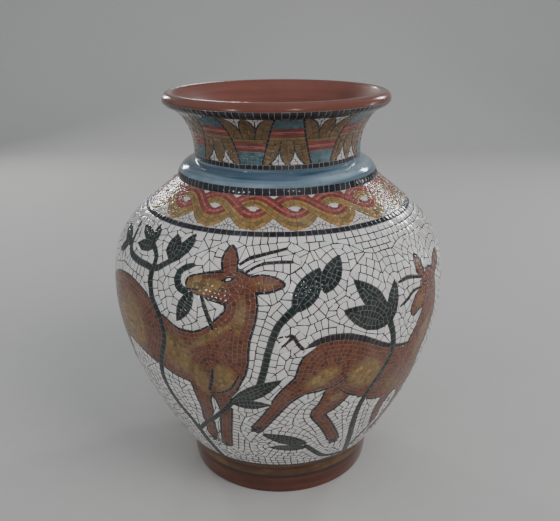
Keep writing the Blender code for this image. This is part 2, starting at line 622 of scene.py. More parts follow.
class Skin:
    """The outer skin, with the drawing plane that is unrolled from it.

    On the plane X runs round the vase from the front to the right, and Y up its
    side. Small shapes keep their angles there, because Y is stretched as X is.
    """

    def __init__(self, outline: Outline, zero_height: float) -> None:
        """Measure the skin.

        Args:
            outline: The turned outline.
            zero_height: The height at which Y is 0.
        """
        points = np.array(outline.outside())
        self.radius, self.height = points.T
        steps = np.diff(points, axis=0)
        lengths = np.hypot(*steps.T)
        middle = 0.5 * (self.radius[1:] + self.radius[:-1])
        self.rise = np.concatenate([[0.0], np.cumsum(lengths / middle)]) * PLANE_RADIUS
        ways = steps / lengths[:, None]
        ways = np.vstack([ways[:1], ways[:-1] + ways[1:], ways[-1:]])
        ways /= np.hypot(*ways.T)[:, None]
        self.out_round, self.out_up = ways[:, 1], -ways[:, 0]
        self.top = int(np.argmax(self.height))
        self.rise = self.rise - self.y_at(zero_height)

    def y_at(self, height: float) -> float:
        """Return the plane's Y of a height on the outside."""
        return float(np.interp(height, self.height[:self.top], self.rise[:self.top]))

    def radius_at(self, y: np.ndarray) -> np.ndarray:
        """Return the radius in millimetres at each Y."""
        return np.interp(y, self.rise, self.radius) * 1000.0

    def place(self, x: np.ndarray, y: np.ndarray, lift: np.ndarray | float) -> np.ndarray:
        """Put points of the plane on the vase.

        Args:
            x: Each point's X in millimetres.
            y: Each point's Y in millimetres.
            lift: How far each point stands off the skin, in millimetres.

        Returns:
            The places in metres.
        """
        turn = x / PLANE_RADIUS
        off = lift * 0.001
        radius = np.interp(y, self.rise, self.radius) + off * np.interp(y, self.rise, self.out_round)
        height = np.interp(y, self.rise, self.height) + off * np.interp(y, self.rise, self.out_up)
        return np.stack([radius * np.sin(turn), -radius * np.cos(turn), height], axis=-1)


def added(name: str, data: bpy.types.ID) -> bpy.types.Object:
    """Put an object in the scene.

    Args:
        name: Its name.
        data: Its mesh, light or camera.

    Returns:
        The object.
    """
    thing = bpy.data.objects.new(name, data)
    bpy.context.scene.collection.objects.link(thing)
    return thing


def make_piece(name: str, places: np.ndarray, loops: np.ndarray, starts: np.ndarray,
               material: bpy.types.Material) -> bpy.types.Object:
    """Make a piece of the vase from its mesh data.

    Args:
        name: The piece's name.
        places: The vertices.
        loops: The vertex numbers of all faces, one after another.
        starts: Where each face begins in loops.
        material: Its finish.

    Returns:
        The piece.
    """
    mesh = bpy.data.meshes.new(name)
    mesh.vertices.add(len(places))
    mesh.vertices.foreach_set("co", np.asarray(places, np.float32).ravel())
    mesh.loops.add(len(loops))
    mesh.loops.foreach_set("vertex_index", np.asarray(loops, np.int32))
    mesh.polygons.add(len(starts))
    mesh.polygons.foreach_set("loop_start", np.asarray(starts, np.int32))
    mesh.update(calc_edges=True)
    mesh.materials.append(material)
    mesh.shade_smooth()
    piece = added(name, mesh)
    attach(piece, "root")
    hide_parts("vase")
    LOG.info("%s: %d vertices, %d faces", name, len(places), len(starts))
    return piece


@dataclass(frozen=True)
class Turner:
    """Turns plain strips of the vase, with so many segments round."""

    segments: int

    def strip(self, name: str, points: list[Point], material: bpy.types.Material, slot: str,
              sharp: float = 35.0) -> bpy.types.Object:
        """Turn an outline, which runs up its outer side, round the axis.

        Args:
            name: The piece's name.
            points: Radius and height of each point; one at radius 0 closes the strip.
            material: Its finish.
            slot: Not used.
            sharp: The angle in degrees from which an edge is sharp.

        Returns:
            The piece.
        """
        count = self.segments
        turn = np.arange(count) * (tau / count)
        places: list[np.ndarray] = []
        rows: list[np.ndarray] = []
        total = 0
        for radius, height in points:
            if radius == 0.0:
                places.append(np.array([[0.0, 0.0, height]]))
                rows.append(np.full(count, total))
                total += 1
                continue
            level = np.full(count, height)
            places.append(np.stack([radius * np.sin(turn), -radius * np.cos(turn), level], axis=-1))
            rows.append(np.arange(total, total + count))
            total += count
        loops, starts, used = [], [], 0
        for low, high in zip(rows, rows[1:]):
            ring = [low, np.roll(low, -1), np.roll(high, -1), high]
            if low[0] == low[-1]:
                ring.pop(0)
            elif high[0] == high[-1]:
                ring.pop(3)
            faces = np.stack(ring, axis=1)
            loops.append(faces.ravel())
            starts.append(used + np.arange(count) * len(ring))
            used += faces.size
        piece = make_piece(name, np.vstack(places), np.concatenate(loops), np.concatenate(starts),
                           material)
        piece.data.set_sharp_from_angle(angle=radians(sharp))
        return piece


# Tesserae


@dataclass(frozen=True)
class Tessera:
    """One kind of tessera; lengths in true millimetres, colours linear.

    A row is so high, and a tessera in it so long. Half a line is left bare at each of
    its edges. The change is how much tesserae differ, and the second colour is that
    of warm places. Kinds of the same colours are kept apart by their names.
    """

    name: str
    colour: Colour
    line: Colour
    row: float
    length: float
    half_line: float
    change: float = 0.10
    second: Colour | None = None


MAROON_LINE = (0.038, 0.020, 0.018)
GREY_LINE = (0.11, 0.117, 0.106)
TAN_LINE = (0.21, 0.11, 0.08)


class Tint(Enum):
    """The kinds of tessera that are laid."""

    OUTSIDE = Tessera("outside", (0.0, 0.0, 0.0), (0.0, 0.0, 0.0), 4.0, 4.0, 0.2)
    WHITE = Tessera("white", (0.71, 0.685, 0.65), MAROON_LINE, 4.7, 4.9, 0.42, 0.06)
    CHALK = Tessera("chalk", (0.57, 0.54, 0.51), MAROON_LINE, 2.7, 2.9, 0.26, 0.06)
    HIDE = Tessera("hide", (0.138, 0.043, 0.021), TAN_LINE, 2.9, 3.1, 0.26, 0.18, (0.24, 0.152, 0.046))
    LEAF = Tessera("leaf", (0.009, 0.015, 0.013), GREY_LINE, 3.0, 3.2, 0.33, 0.3)
    FROND = Tessera("frond", (0.009, 0.015, 0.013), GREY_LINE, 3.0, 3.2, 0.33, 0.3)
    STEM = Tessera("stem", (0.010, 0.018, 0.015), GREY_LINE, 3.4, 3.6, 0.30, 0.3)
    DARK = Tessera("dark", (0.015, 0.010, 0.012), (0.19, 0.16, 0.145), 2.2, 3.6, 0.22, 0.2)
    EYE = Tessera("eye", (0.60, 0.58, 0.54), MAROON_LINE, 3.0, 4.0, 0.1, 0.05)
    BLACK = Tessera("black", (0.011, 0.009, 0.013), (0.26, 0.25, 0.24), 4.0, 4.6, 0.27, 0.2)
    CRIMSON = Tessera("crimson", (0.22, 0.047, 0.04), (0.10, 0.035, 0.03), 3.0, 3.3, 0.18, 0.2)
    ROSE = Tessera("rose", (0.32, 0.105, 0.085), (0.13, 0.045, 0.038), 3.0, 3.6, 0.18, 0.14)
    OCHRE = Tessera("ochre", (0.30, 0.175, 0.058), (0.11, 0.06, 0.026), 3.0, 3.6, 0.18, 0.14)
    OLIVE = Tessera("olive", (0.22, 0.15, 0.06), (0.10, 0.06, 0.026), 3.0, 3.6, 0.18, 0.14)
    TEAL = Tessera("teal", (0.065, 0.12, 0.14), (0.15, 0.15, 0.13), 2.6, 2.9, 0.15, 0.2)
    PETAL = Tessera("petal", (0.165, 0.10, 0.046), (0.06, 0.034, 0.02), 2.6, 3.0, 0.16, 0.16)

    @property
    def code(self) -> int:
        """The number that stands for this kind on a canvas."""
        return CODES[self]


CODES = {tint: number for number, tint in enumerate(Tint)}
KINDS = list(Tint)


def spline(points: tuple, step: float = 2.5) -> np.ndarray:
    """Return close points on a smooth line through the given ones.

    Args:
        points: Rows whose first two columns are X and Y.
        step: About how far apart the points are.

    Returns:
        The rows of the close points, with as many columns.
    """
    known = np.array(points, float)
    padded = np.vstack([2.0 * known[0] - known[1], known, 2.0 * known[-1] - known[-2]])
    rows = []
    for a, b, c, d in zip(padded, padded[1:], padded[2:], padded[3:]):
        count = max(2, int(np.hypot(*(c - b)[:2]) / step))
        t = (np.arange(count) / count)[:, None]
        rows.append(0.5 * (2.0 * b + (c - a) * t + (2.0 * a - 5.0 * b + 4.0 * c - d) * t ** 2
                           + (3.0 * b - a - 3.0 * c + d) * t ** 3))
    return np.vstack(rows + [known[-1:]])


def wrapped(angle: float) -> float:
    """Return the same angle between minus and plus half a turn."""
    return (angle + pi) % tau - pi


class Canvas:
    """A drawing of one zone on the plane, in small dots, closed round the vase.

    There are so many columns of dots round the vase, and a margin of empty rows along
    both edges. The grade is how coarse the tesserae are at some values of Y.
    """

    columns = 2262
    margin = 8
    leaf_steps = 25
    leaf_fullest = 0.86
    leaf_roundness = 0.85
    blob_reach = 4.0
    blob_limit = 30.0
    far_away = 1e3
    fade_reach = 1.5
    fade_start = 3.0
    fade_rate = 2.5

    def __init__(self, low: float, high: float, ground: Tint) -> None:
        """Start a drawing.

        Args:
            low: The Y of its lower edge.
            high: The Y of its upper edge.
            ground: What it is laid with where nothing is drawn.
        """
        self.dot = tau * PLANE_RADIUS / self.columns
        self.half = 0.5 * tau * PLANE_RADIUS
        inner = round((high - low) / self.dot)
        shape = (inner + 2 * self.margin, self.columns)
        self.bottom = low - self.margin * self.dot
        self.label = np.zeros(shape, np.int16)
        self.label[self.margin:-self.margin] = ground.code
        self.group = np.zeros(shape, np.int32)
        self.along = np.zeros(shape, np.float32)
        self.tone = np.zeros(shape, np.float32)
        self.strokes = 0
        self.grade = ((0.0, 1.0), (1.0, 1.0))

    def spot(self, x: np.ndarray, y: np.ndarray) -> tuple[np.ndarray, np.ndarray]:
        """Return the row and column of points of the plane."""
        row = np.clip(((y - self.bottom) / self.dot).astype(int), 0, self.label.shape[0] - 1)
        return row, ((x + self.half) / self.dot).astype(int) % self.columns

    def window(self, low: tuple[float, float], high: tuple[float, float]) -> tuple:
        """Find the dots between two corners.

        Args:
            low: The lower left corner.
            high: The upper right corner.

        Returns:
            Their slices, and the X and Y of their middles.
        """
        first = [int((low[0] + self.half) / self.dot), int((low[1] - self.bottom) / self.dot)]
        last = [int((high[0] + self.half) / self.dot) + 1, int((high[1] - self.bottom) / self.dot) + 1]
        c0, c1 = max(first[0], 0), min(last[0], self.columns)
        r0, r1 = max(first[1], self.margin), min(last[1], self.label.shape[0] - self.margin)
        x = (np.arange(c0, c1) + 0.5) * self.dot - self.half
        y = (np.arange(r0, r1) + 0.5) * self.dot + self.bottom
        return (slice(r0, r1), slice(c0, c1)), x[None, :], y[:, None]

    def paint(self, where: tuple, mask: np.ndarray, tint: Tint, along: np.ndarray | None = None) -> None:
        """Paint dots.

        Args:
            where: The window's slices.
            mask: The dots to paint in it.
            tint: With what.
            along: How far each dot lies along a stroke, if this is one.
        """
        self.label[where][mask] = tint.code
        self.tone[where][mask] = 0.0
        if along is None:
            self.group[where][mask] = 0
            return
        self.strokes += 1
        self.group[where][mask] = self.strokes
        self.along[where][mask] = along[mask]

    def distance(self, path: np.ndarray, reach: float) -> tuple:
        """Measure how far dots lie from a path of X, Y and radius.

        Args:
            path: The path's rows.
            reach: How far outside the path's radius it is measured.

        Returns:
            The window's slices, the distance less the radius, and the length along.
        """
        wide = float(path[:, 2].max()) + reach
        low, high = path[:, :2].min(axis=0) - wide, path[:, :2].max(axis=0) + wide
        where, x, y = self.window(tuple(low), tuple(high))
        best = np.full((y.shape[0], x.shape[1]), self.far_away, np.float32)
        along = np.zeros_like(best)
        done = 0.0
        for a, b in zip(path, path[1:]):
            way = b[:2] - a[:2]
            length = float(np.hypot(*way))
            if length < TINY:
                continue
            near = np.minimum(a[:2], b[:2]) - wide, np.maximum(a[:2], b[:2]) + wide
            cols = slice(*np.searchsorted(x[0], (near[0][0], near[1][0])))
            rows = slice(*np.searchsorted(y[:, 0], (near[0][1], near[1][1])))
            dx, dy = x[:, cols] - a[0], y[rows] - a[1]
            t = np.clip((dx * way[0] + dy * way[1]) / length ** 2, 0.0, 1.0)
            gap = np.hypot(dx - t * way[0], dy - t * way[1]) - (a[2] + t * (b[2] - a[2]))
            part = best[rows, cols]
            closer = gap < part
            part[closer] = gap[closer]
            along[rows, cols][closer] = (done + t * length)[closer]
            done += length
        return where, best, along

    def stroke(self, points: tuple, tint: Tint) -> None:
        """Paint one line of tesserae through points of X, Y and half width."""
        where, gap, along = self.distance(spline(points), 1.0)
        self.paint(where, gap < 0.0, tint, along)

    def blob(self, limbs: tuple, tint: Tint, melt: float) -> None:
        """Paint a form of rounded limbs that melt together.

        Args:
            limbs: Each limb's points, as X, Y and radius.
            tint: What it is laid with.
            melt: How far the limbs run into each other.
        """
        total = np.zeros(self.label.shape, np.float32)
        for limb in limbs:
            where, gap, _ = self.distance(spline(limb), self.blob_reach * melt)
            total[where] += np.exp(np.clip(-gap / melt, -self.blob_limit, self.blob_limit))
        inside = total >= 1.0
        inside[:self.margin] = False
        inside[-self.margin:] = False
        self.paint((slice(None), slice(None)), inside, tint)

    def polygon(self, corners: np.ndarray, tint: Tint) -> None:
        """Paint the inside of a closed line.

        Args:
            corners: Its X and Y.
            tint: What it is laid with.
        """
        where, x, y = self.window(tuple(corners.min(axis=0)), tuple(corners.max(axis=0)))
        inside = np.zeros((y.shape[0], x.shape[1]), bool)
        for (ax, ay), (bx, by) in zip(corners, np.roll(corners, -1, axis=0)):
            if ay == by:
                continue
            spans = (y > min(ay, by)) & (y <= max(ay, by))
            inside ^= spans & (x < ax + (y - ay) * (bx - ax) / (by - ay))
        self.paint(where, inside, tint)

    def leaf(self, base: Point, tip: Point, width: float, tint: Tint, bend: float = 0.0) -> None:
        """Paint an almond leaf.

        Args:
            base: Where it springs.
            tip: Its point.
            width: Its greatest width.
            tint: What it is laid with.
            bend: How far its middle line bows, as a share of its length.
        """
        start, way = np.array(base), np.array(tip) - np.array(base)
        side = np.array([-way[1], way[0]])
        t = np.linspace(0.0, 1.0, self.leaf_steps)
        line = start + t[:, None] * way + (4.0 * bend * t * (1.0 - t))[:, None] * side
        half = 0.5 * width / np.hypot(*way) * np.sin(pi * t ** self.leaf_fullest) ** self.leaf_roundness
        edge = half[:, None] * side
        self.polygon(np.vstack([line + edge, (line - edge)[::-1]]), tint)

    def shade(self, spots: tuple, tint: Tint) -> None:
        """Warm some places of what is laid with one kind.

        Args:
            spots: X, Y, half length, half height, lean in degrees and strength of each place.
            tint: The kind.
        """
        for cx, cy, long_half, high_half, lean, strength in spots:
            reach = self.fade_reach * max(long_half, high_half)
            where, x, y = self.window((cx - reach, cy - reach), (cx + reach, cy + reach))
            c, s = cos(radians(lean)), sin(radians(lean))
            u = ((x - cx) * c + (y - cy) * s) / long_half
            v = ((y - cy) * c - (x - cx) * s) / high_half
            soft = np.clip(self.fade_start - self.fade_rate * np.hypot(u, v), 0.0, 1.0) * strength
            soft[self.label[where] != tint.code] = 0.0
            self.tone[where] = np.maximum(self.tone[where], soft)


@dataclass
class Tiling:
    """Tesserae as flat polygons on the plane, with their colours."""

    corners: list = field(default_factory=list)
    kinds: list = field(default_factory=list)
    tones: list = field(default_factory=list)

    def add(self, corners: list, kind: Tint, tones: list) -> None:
        """Add one tessera.

        Args:
            corners: Its corners, against the clock.
            kind: Its kind.
            tones: How warm each corner is.
        """
        self.corners.append(corners)
        self.kinds.append(kind)
        self.tones.append(tones)


@dataclass(frozen=True)
class Seam:
    """An edge row: what is laid first on one kind where it meets another."""

    ground: Tint
    figure: Tint
    laid: Tint
    width: float


@dataclass
class Setter:
    """Sets tesserae in rows that follow every edge of a drawing.

    Rows are cut into cells of equal area, whose lengths waver a little. A cell's
    outline is found by how far it reaches in each of many directions. The colour of
    a corner is read between it and the middle.
    """

    canvas: Canvas
    skin: Skin
    seams: tuple[Seam, ...]
    chance: np.random.Generator
    farthest: int = 128
    smoothing: int = 5
    depth_smoothing: int = 6
    row_share: float = 0.45
    row_break: float = 6.0
    waver: float = 0.06
    waver_pace: float = 2.4
    directions: int = 24
    first_direction: float = 0.05
    least_area: float = 0.9
    most_corners: int = 8
    least_corner: float = 0.22
    corner_share: float = 0.55
    centre_share: float = 0.45

    turns = ((0, 1), (1, 0), (0, -1), (-1, 0))
    left_dots = ((0, 0), (0, -1), (-1, -1), (-1, 0))
    right_dots = ((-1, 0), (0, 0), (0, -1), (-1, -1))
    edge_middles = ((-0.5, 0.0), (0.0, -0.5), (-0.5, -1.0), (-1.0, -0.5))
    slides = (12, -12, 7, -7, 4, -4, 2, -2, 1, -1, 1, -1)
    no_edge = 1e12
    number_bits = 21
    reach_offset = 4096.0
    reach_steps = 64.0

    def trace(self) -> None:
        """Find every edge between kinds, and follow the edges round each patch.

        An edge runs with its own patch on its left. Its place, way and length so far
        are kept in dots, and its partner is the same edge seen from the other patch.
        """
        label = self.canvas.label
        rows, cols = label.shape
        west, south = np.roll(label, 1, axis=1), np.vstack([label[:1], label[:-1]])
        southwest = np.roll(south, 1, axis=1)
        left = np.stack([label, west, southwest, south])
        right = np.stack([south, label, west, southwest])
        way, i, j = np.nonzero(left != right)
        own = left[way, i, j]
        size = rows * cols

        def number(d: np.ndarray, r: np.ndarray, c: np.ndarray) -> np.ndarray:
            """Return one number for a way, a row and a column."""
            return d.astype(np.int64) * size + r * cols + c % cols

        ids = number(way, i, j)
        step = np.array(self.turns)[way]
        hi, hj = i + step[:, 0], j + step[:, 1]
        ahead_left, ahead_right = np.array(self.left_dots)[way], np.array(self.right_dots)[way]
        seen_left, seen_right = (label[np.clip(hi + ahead[:, 0], 0, rows - 1), (hj + ahead[:, 1]) % cols]
                                 for ahead in (ahead_left, ahead_right))
        new = np.where(seen_left != own, (way + 1) % 4, np.where(seen_right == own, (way + 3) % 4, way))
        follow = np.searchsorted(ids, number(new, hi, hj))
        self.partner = np.searchsorted(ids, number((way + 2) % 4, hi, hj))
        middle = np.array(self.edge_middles)[way]
        self.edge_row, self.edge_col = i + middle[:, 0], j + middle[:, 1]
        self.dot_row, self.dot_col = i + ahead_left[:, 0], (j + ahead_left[:, 1]) % cols
        self.own = own
        self.follow_loops(follow.tolist())

    def follow_loops(self, follow: list[int]) -> None:
        """Walk round every loop, and measure its edges.

        Args:
            follow: The edge that comes after each one.
        """
        count, cols = len(follow), self.canvas.columns
        self.loop, self.position, self.base, self.size = (np.zeros(count, np.int64) for _ in range(4))
        self.reach, self.way_row, self.way_col = np.zeros(count), np.zeros(count), np.zeros(count)
        self.soft_row, self.soft_col = np.zeros(count, np.float32), np.zeros(count, np.float32)
        self.loops = []
        done = 0
        known = bytearray(count)
        for first in range(count):
            if known[first]:
                continue
            chain, at = [], first
            while not known[at]:
                known[at] = 1
                chain.append(at)
                at = follow[at]
            chain = np.array(chain)
            dr = np.roll(self.edge_row[chain], -1) - self.edge_row[chain]
            dc = np.roll(self.edge_col[chain], -1) - self.edge_col[chain]
            dc = (dc + cols / 2) % cols - cols / 2
            size = len(chain)
            here = np.arange(size)
            drift = dc.sum() * here / size
            up = self.edge_row[chain]
            along = self.edge_col[chain[0]] + np.cumsum(dc) - dc
            width = min(self.smoothing, (size - 1) // 2)
            span = range(-width, width + 1)
            up = np.mean([np.roll(up, k) for k in span], axis=0)
            along = np.mean([np.roll(along - drift, k) for k in span], axis=0) + drift
            sr = np.roll(up, -1) - np.roll(up, 1)
            sc = np.roll(along, -1) - np.roll(along, 1)
            sc = (sc + cols / 2) % cols - cols / 2
            length = np.hypot(sr, sc) * 0.5
            self.reach[chain] = np.cumsum(length)
            safe = np.maximum(2.0 * length, TINY)
            self.way_row[chain], self.way_col[chain] = sr / safe, sc / safe
            self.soft_row[chain], self.soft_col[chain] = up, along % cols
            self.loop[chain], self.position[chain] = len(self.loops), here
            self.base[chain], self.size[chain] = done, size
            self.loops.append(chain)
            done += size
        self.walk = np.concatenate(self.loops)

    def gap(self, r: np.ndarray, c: np.ndarray, edge_row: np.ndarray, edge_col: np.ndarray) -> np.ndarray:
        """Measure how far dots lie from edges, by the shorter way round.

        Args:
            r: Each dot's row.
            c: Its column.
            edge_row: Its edge's row.
            edge_col: Its edge's column.

        Returns:
            The squared distances.
        """
        across = np.abs(c - edge_col)
        across = np.minimum(across, self.canvas.columns - across)
        return (r - edge_row) ** 2 + across ** 2

    def nearest(self) -> np.ndarray:
        """Find the nearest edge of each dot's own patch by jump flooding.

        Returns:
            The edge's number for each dot, or -1.
        """
        rows, cols = self.canvas.label.shape
        found = np.full((rows, cols), -1, np.int32)
        found[self.dot_row, self.dot_col] = np.arange(len(self.own), dtype=np.int32)
        edge_row, edge_col = self.edge_row.astype(np.float32), self.edge_col.astype(np.float32)
        r = np.arange(rows, dtype=np.float32)[:, None]
        c = np.arange(cols, dtype=np.float32)[None, :]

        def gap(which: np.ndarray) -> np.ndarray:
            """Measure how far each dot lies from an edge.

            Args:
                which: The number of each dot's edge, or -1.

            Returns:
                The squared distances, which are great where there is no edge.
            """
            far = self.gap(r, c, edge_row[which], edge_col[which])
            far[which < 0] = self.no_edge
            return far

        best = gap(found)
        steps = [self.farthest >> halving for halving in range(self.farthest.bit_length())]
        for step in steps + [1]:
            for dr, dc in product((-step, 0, step), repeat=2):
                if dr or dc:
                    other = np.roll(found, (dr, dc), axis=(0, 1))
                    far = gap(other)
                    closer = far < best
                    found = np.where(closer, other, found)
                    best = np.where(closer, far, best)
        label = self.canvas.label
        wrong = self.own[found] != label
        found = np.where(wrong, self.partner[found], found)
        found[self.own[found] != label] = -1
        return found

    def refine(self, r: np.ndarray, c: np.ndarray, edge: np.ndarray) -> tuple:
        """Slide along the smoothed edges to the one that is nearest to each dot.

        Args:
            r: Each dot's row.
            c: Its column.
            edge: The edge that was found for it.

        Returns:
            The nearest edge and its distance in dots.
        """
        r, c = r.astype(np.float32), c.astype(np.float32)
        best = self.gap(r, c, self.soft_row[edge], self.soft_col[edge])
        for step in self.slides:
            other = self.walk[self.base[edge] + (self.position[edge] + step) % self.size[edge]]
            far = self.gap(r, c, self.soft_row[other], self.soft_col[other])
            closer = far < best
            edge = np.where(closer, other, edge)
            best = np.where(closer, far, best)
        return edge, np.sqrt(best)

    def set(self) -> Tiling:
        """Lay the drawing.

        Returns:
            The tesserae.
        """
        self.trace()
        canvas = self.canvas
        found = self.nearest()
        rows = canvas.label.shape[0]
        y = (np.arange(rows) + 0.5) * canvas.dot + canvas.bottom
        scale = self.skin.radius_at(y) / PLANE_RADIUS * canvas.dot
        laid = (canvas.label > 0) & ((found >= 0) | (canvas.group > 0))
        r, c = np.nonzero(laid)
        edge, far = self.refine(r, c, found[r, c])
        group = canvas.group[r, c]
        stroke = group > 0
        code = canvas.label[r, c].astype(int)
        true = scale[r]
        heights = np.array([kind.value.row for kind in KINDS])
        lengths = np.array([kind.value.length for kind in KINDS])

        deep = far * true
        seam = np.zeros(len(self.own))
        seam_code = np.zeros(len(self.own), int)
        other = self.own[self.partner]
        for rule in self.seams:
            meets = (self.own == rule.ground.code) & (other == rule.figure.code)
            seam[meets] = rule.width
            seam_code[meets] = rule.laid.code
        deepest = np.zeros(len(self.own))
        plain = ~stroke
        np.maximum.at(deepest, edge[plain], deep[plain])
        for chain in self.loops:
            values = deepest[chain]
            width = min(self.depth_smoothing, (len(chain) - 1) // 2)
            span = range(-width, width + 1)
            values = np.max([np.roll(values, k) for k in span], axis=0)
            deepest[chain] = np.mean([np.roll(values, k) for k in span], axis=0)
        first = seam[edge]
        grade = np.interp(y, *canvas.grade)[r]
        height = heights[code] * grade
        most = np.maximum(1, np.floor((deepest[edge] - first) / height + self.row_share))
        row = np.clip(np.floor((deep - first) / height), 0, most - 1) + 1
        in_seam = plain & (deep < first)
        row[in_seam] = 0
        code[in_seam] = seam_code[edge][in_seam]

        key = self.loop[edge].astype(np.int64) * 256 + row.astype(np.int64)
        key[stroke] = (1 << 40) + group[stroke]
        reach = np.where(stroke, canvas.along[r, c] / canvas.dot, self.reach[edge])
        across = (c - self.soft_col[edge] + canvas.columns / 2) % canvas.columns - canvas.columns / 2
        side = across * self.way_col[edge] + (r - self.soft_row[edge]) * self.way_row[edge]
        order = np.lexsort((side, reach, key))
        r, c, key, reach, code, true = (values[order] for values in (r, c, key, reach, code, true))
        stroke = stroke[order]
        return self.cut(r, c, key, reach, code, true / grade[order], stroke, heights, lengths)

    def cut(self, r: np.ndarray, c: np.ndarray, key: np.ndarray, reach: np.ndarray, code: np.ndarray,
            true: np.ndarray, stroke: np.ndarray, heights: np.ndarray, lengths: np.ndarray) -> Tiling:
        """Cut the ordered dots into tesserae.

        Args:
            r: Each dot's row.
            c: Its column.
            key: The number of its row of tesserae.
            reach: How far along that row it lies, in dots.
            code: Its kind.
            true: A dot's true width in millimetres there, less where tesserae are coarser.
            stroke: Whether it belongs to a stroke.
            heights: The row height of each kind.
            lengths: The length of each kind.

        Returns:
            The tesserae.
        """
        count = len(r)
        fresh = np.ones(count, bool)
        fresh[1:] = (np.diff(key) != 0) | (np.diff(reach) > self.row_break)
        starts = np.nonzero(fresh)[0]
        ends = np.append(starts[1:], count)
        area = true ** 2
        whole = np.add.reduceat(area, starts)
        first = code[starts]
        target = heights[first] * lengths[first]
        by_length = (reach[ends - 1] - reach[starts]) * true[starts] / lengths[first]
        parts = np.maximum(1, np.rint(np.where(stroke[starts], by_length, whole / target)))
        run = np.cumsum(fresh) - 1
        filled = np.cumsum(area)
        before = np.append(0.0, filled)[starts]
        share = (filled - before[run]) / whole[run] * parts[run]
        wave = self.chance.uniform(0.0, tau, len(starts))[run]
        swing = np.sin(self.waver_pace * share + wave) - np.sin(wave)
        share = share + self.waver * swing * (parts[run] > 1)
        piece = np.clip(np.floor(share - 1e-6), 0, parts[run] - 1)
        cell = fresh.copy()
        cell[1:] |= np.diff(piece) != 0
        firsts = np.nonzero(cell)[0]
        sizes = np.diff(np.append(firsts, count))
        areas = np.add.reduceat(area, firsts)
        x = np.repeat(c[firsts], sizes)
        half = self.canvas.columns // 2
        x = (c - x + half) % self.canvas.columns - half
        found = []
        numbers = np.arange(count, dtype=np.int64)
        for turn in range(self.directions):
            angle = turn * tau / self.directions + self.first_direction
            pushed = (x * cos(angle) + r * sin(angle) + self.reach_offset) * self.reach_steps
            ranked = (np.rint(pushed).astype(np.int64) << self.number_bits) | numbers
            found.append(np.maximum.reduceat(ranked, firsts) & ((1 << self.number_bits) - 1))
        found = np.stack(found, axis=1)
        xs = (c[firsts][:, None] + x[found] + 0.5) * self.canvas.dot - self.canvas.half
        ys = (r[found] + 0.5) * self.canvas.dot + self.canvas.bottom
        tiling = Tiling()
        for index in np.nonzero(areas > self.least_area)[0]:
            outline = list(zip(xs[index].tolist(), ys[index].tolist()))
            corners = simplified(outline, self.most_corners, self.least_corner)
            if len(corners) < 3:
                continue
            spots = np.array(corners)
            centre = spots.mean(axis=0)
            seen = self.corner_share * spots + self.centre_share * centre
            where = self.canvas.spot(*seen.T)
            tiling.add(corners, KINDS[code[firsts[index]]], self.canvas.tone[where].tolist())
        return tiling


def together(first: Point, second: Point) -> bool:
    """Say whether two corners lie so close together that one is enough."""
    return abs(first[0] - second[0]) + abs(first[1] - second[1]) <= SAME_CORNER


def simplified(points: list[Point], most: int, least: float) -> list[Point]:
    """Leave out the corners of a convex polygon that matter least.

    Args:
        points: The corners.
        most: How many corners may stay.
        least: The smallest area that a corner stands for.

    Returns:
        The corners that stay.
    """
    kept = []
    for point in points:
        if not kept or not together(point, kept[-1]):
            kept.append(point)
    if len(kept) > 1 and together(kept[0], kept[-1]):
        kept.pop()
    while len(kept) > 3:
        areas = []
        for index in range(len(kept)):
            (ax, ay), (bx, by) = kept[index - 1], kept[index]
            cx, cy = kept[(index + 1) % len(kept)]
            areas.append(abs((bx - ax) * (cy - ay) - (by - ay) * (cx - ax)))
        lowest = min(areas)
        if len(kept) <= most and lowest > least:
            break
        del kept[areas.index(lowest)]
    return kept


def moved_out(corners: np.ndarray, amount: np.ndarray) -> np.ndarray:
    """Move the sides of convex polygons outwards.

    Args:
        corners: Polygons with equal numbers of corners, against the clock.
        amount: How far each polygon's sides move.

    Returns:
        The new corners.
    """
    way = np.roll(corners, -1, axis=1) - corners
    way = way / np.maximum(np.linalg.norm(way, axis=2, keepdims=True), TINY)
    after = np.stack([way[:, :, 1], -way[:, :, 0]], axis=2)
    before = np.roll(after, 1, axis=1)
    meet = np.maximum(1.0 + np.sum(before * after, axis=2, keepdims=True), BLUNTEST)
    return corners + (before + after) / meet * amount[:, None, None]


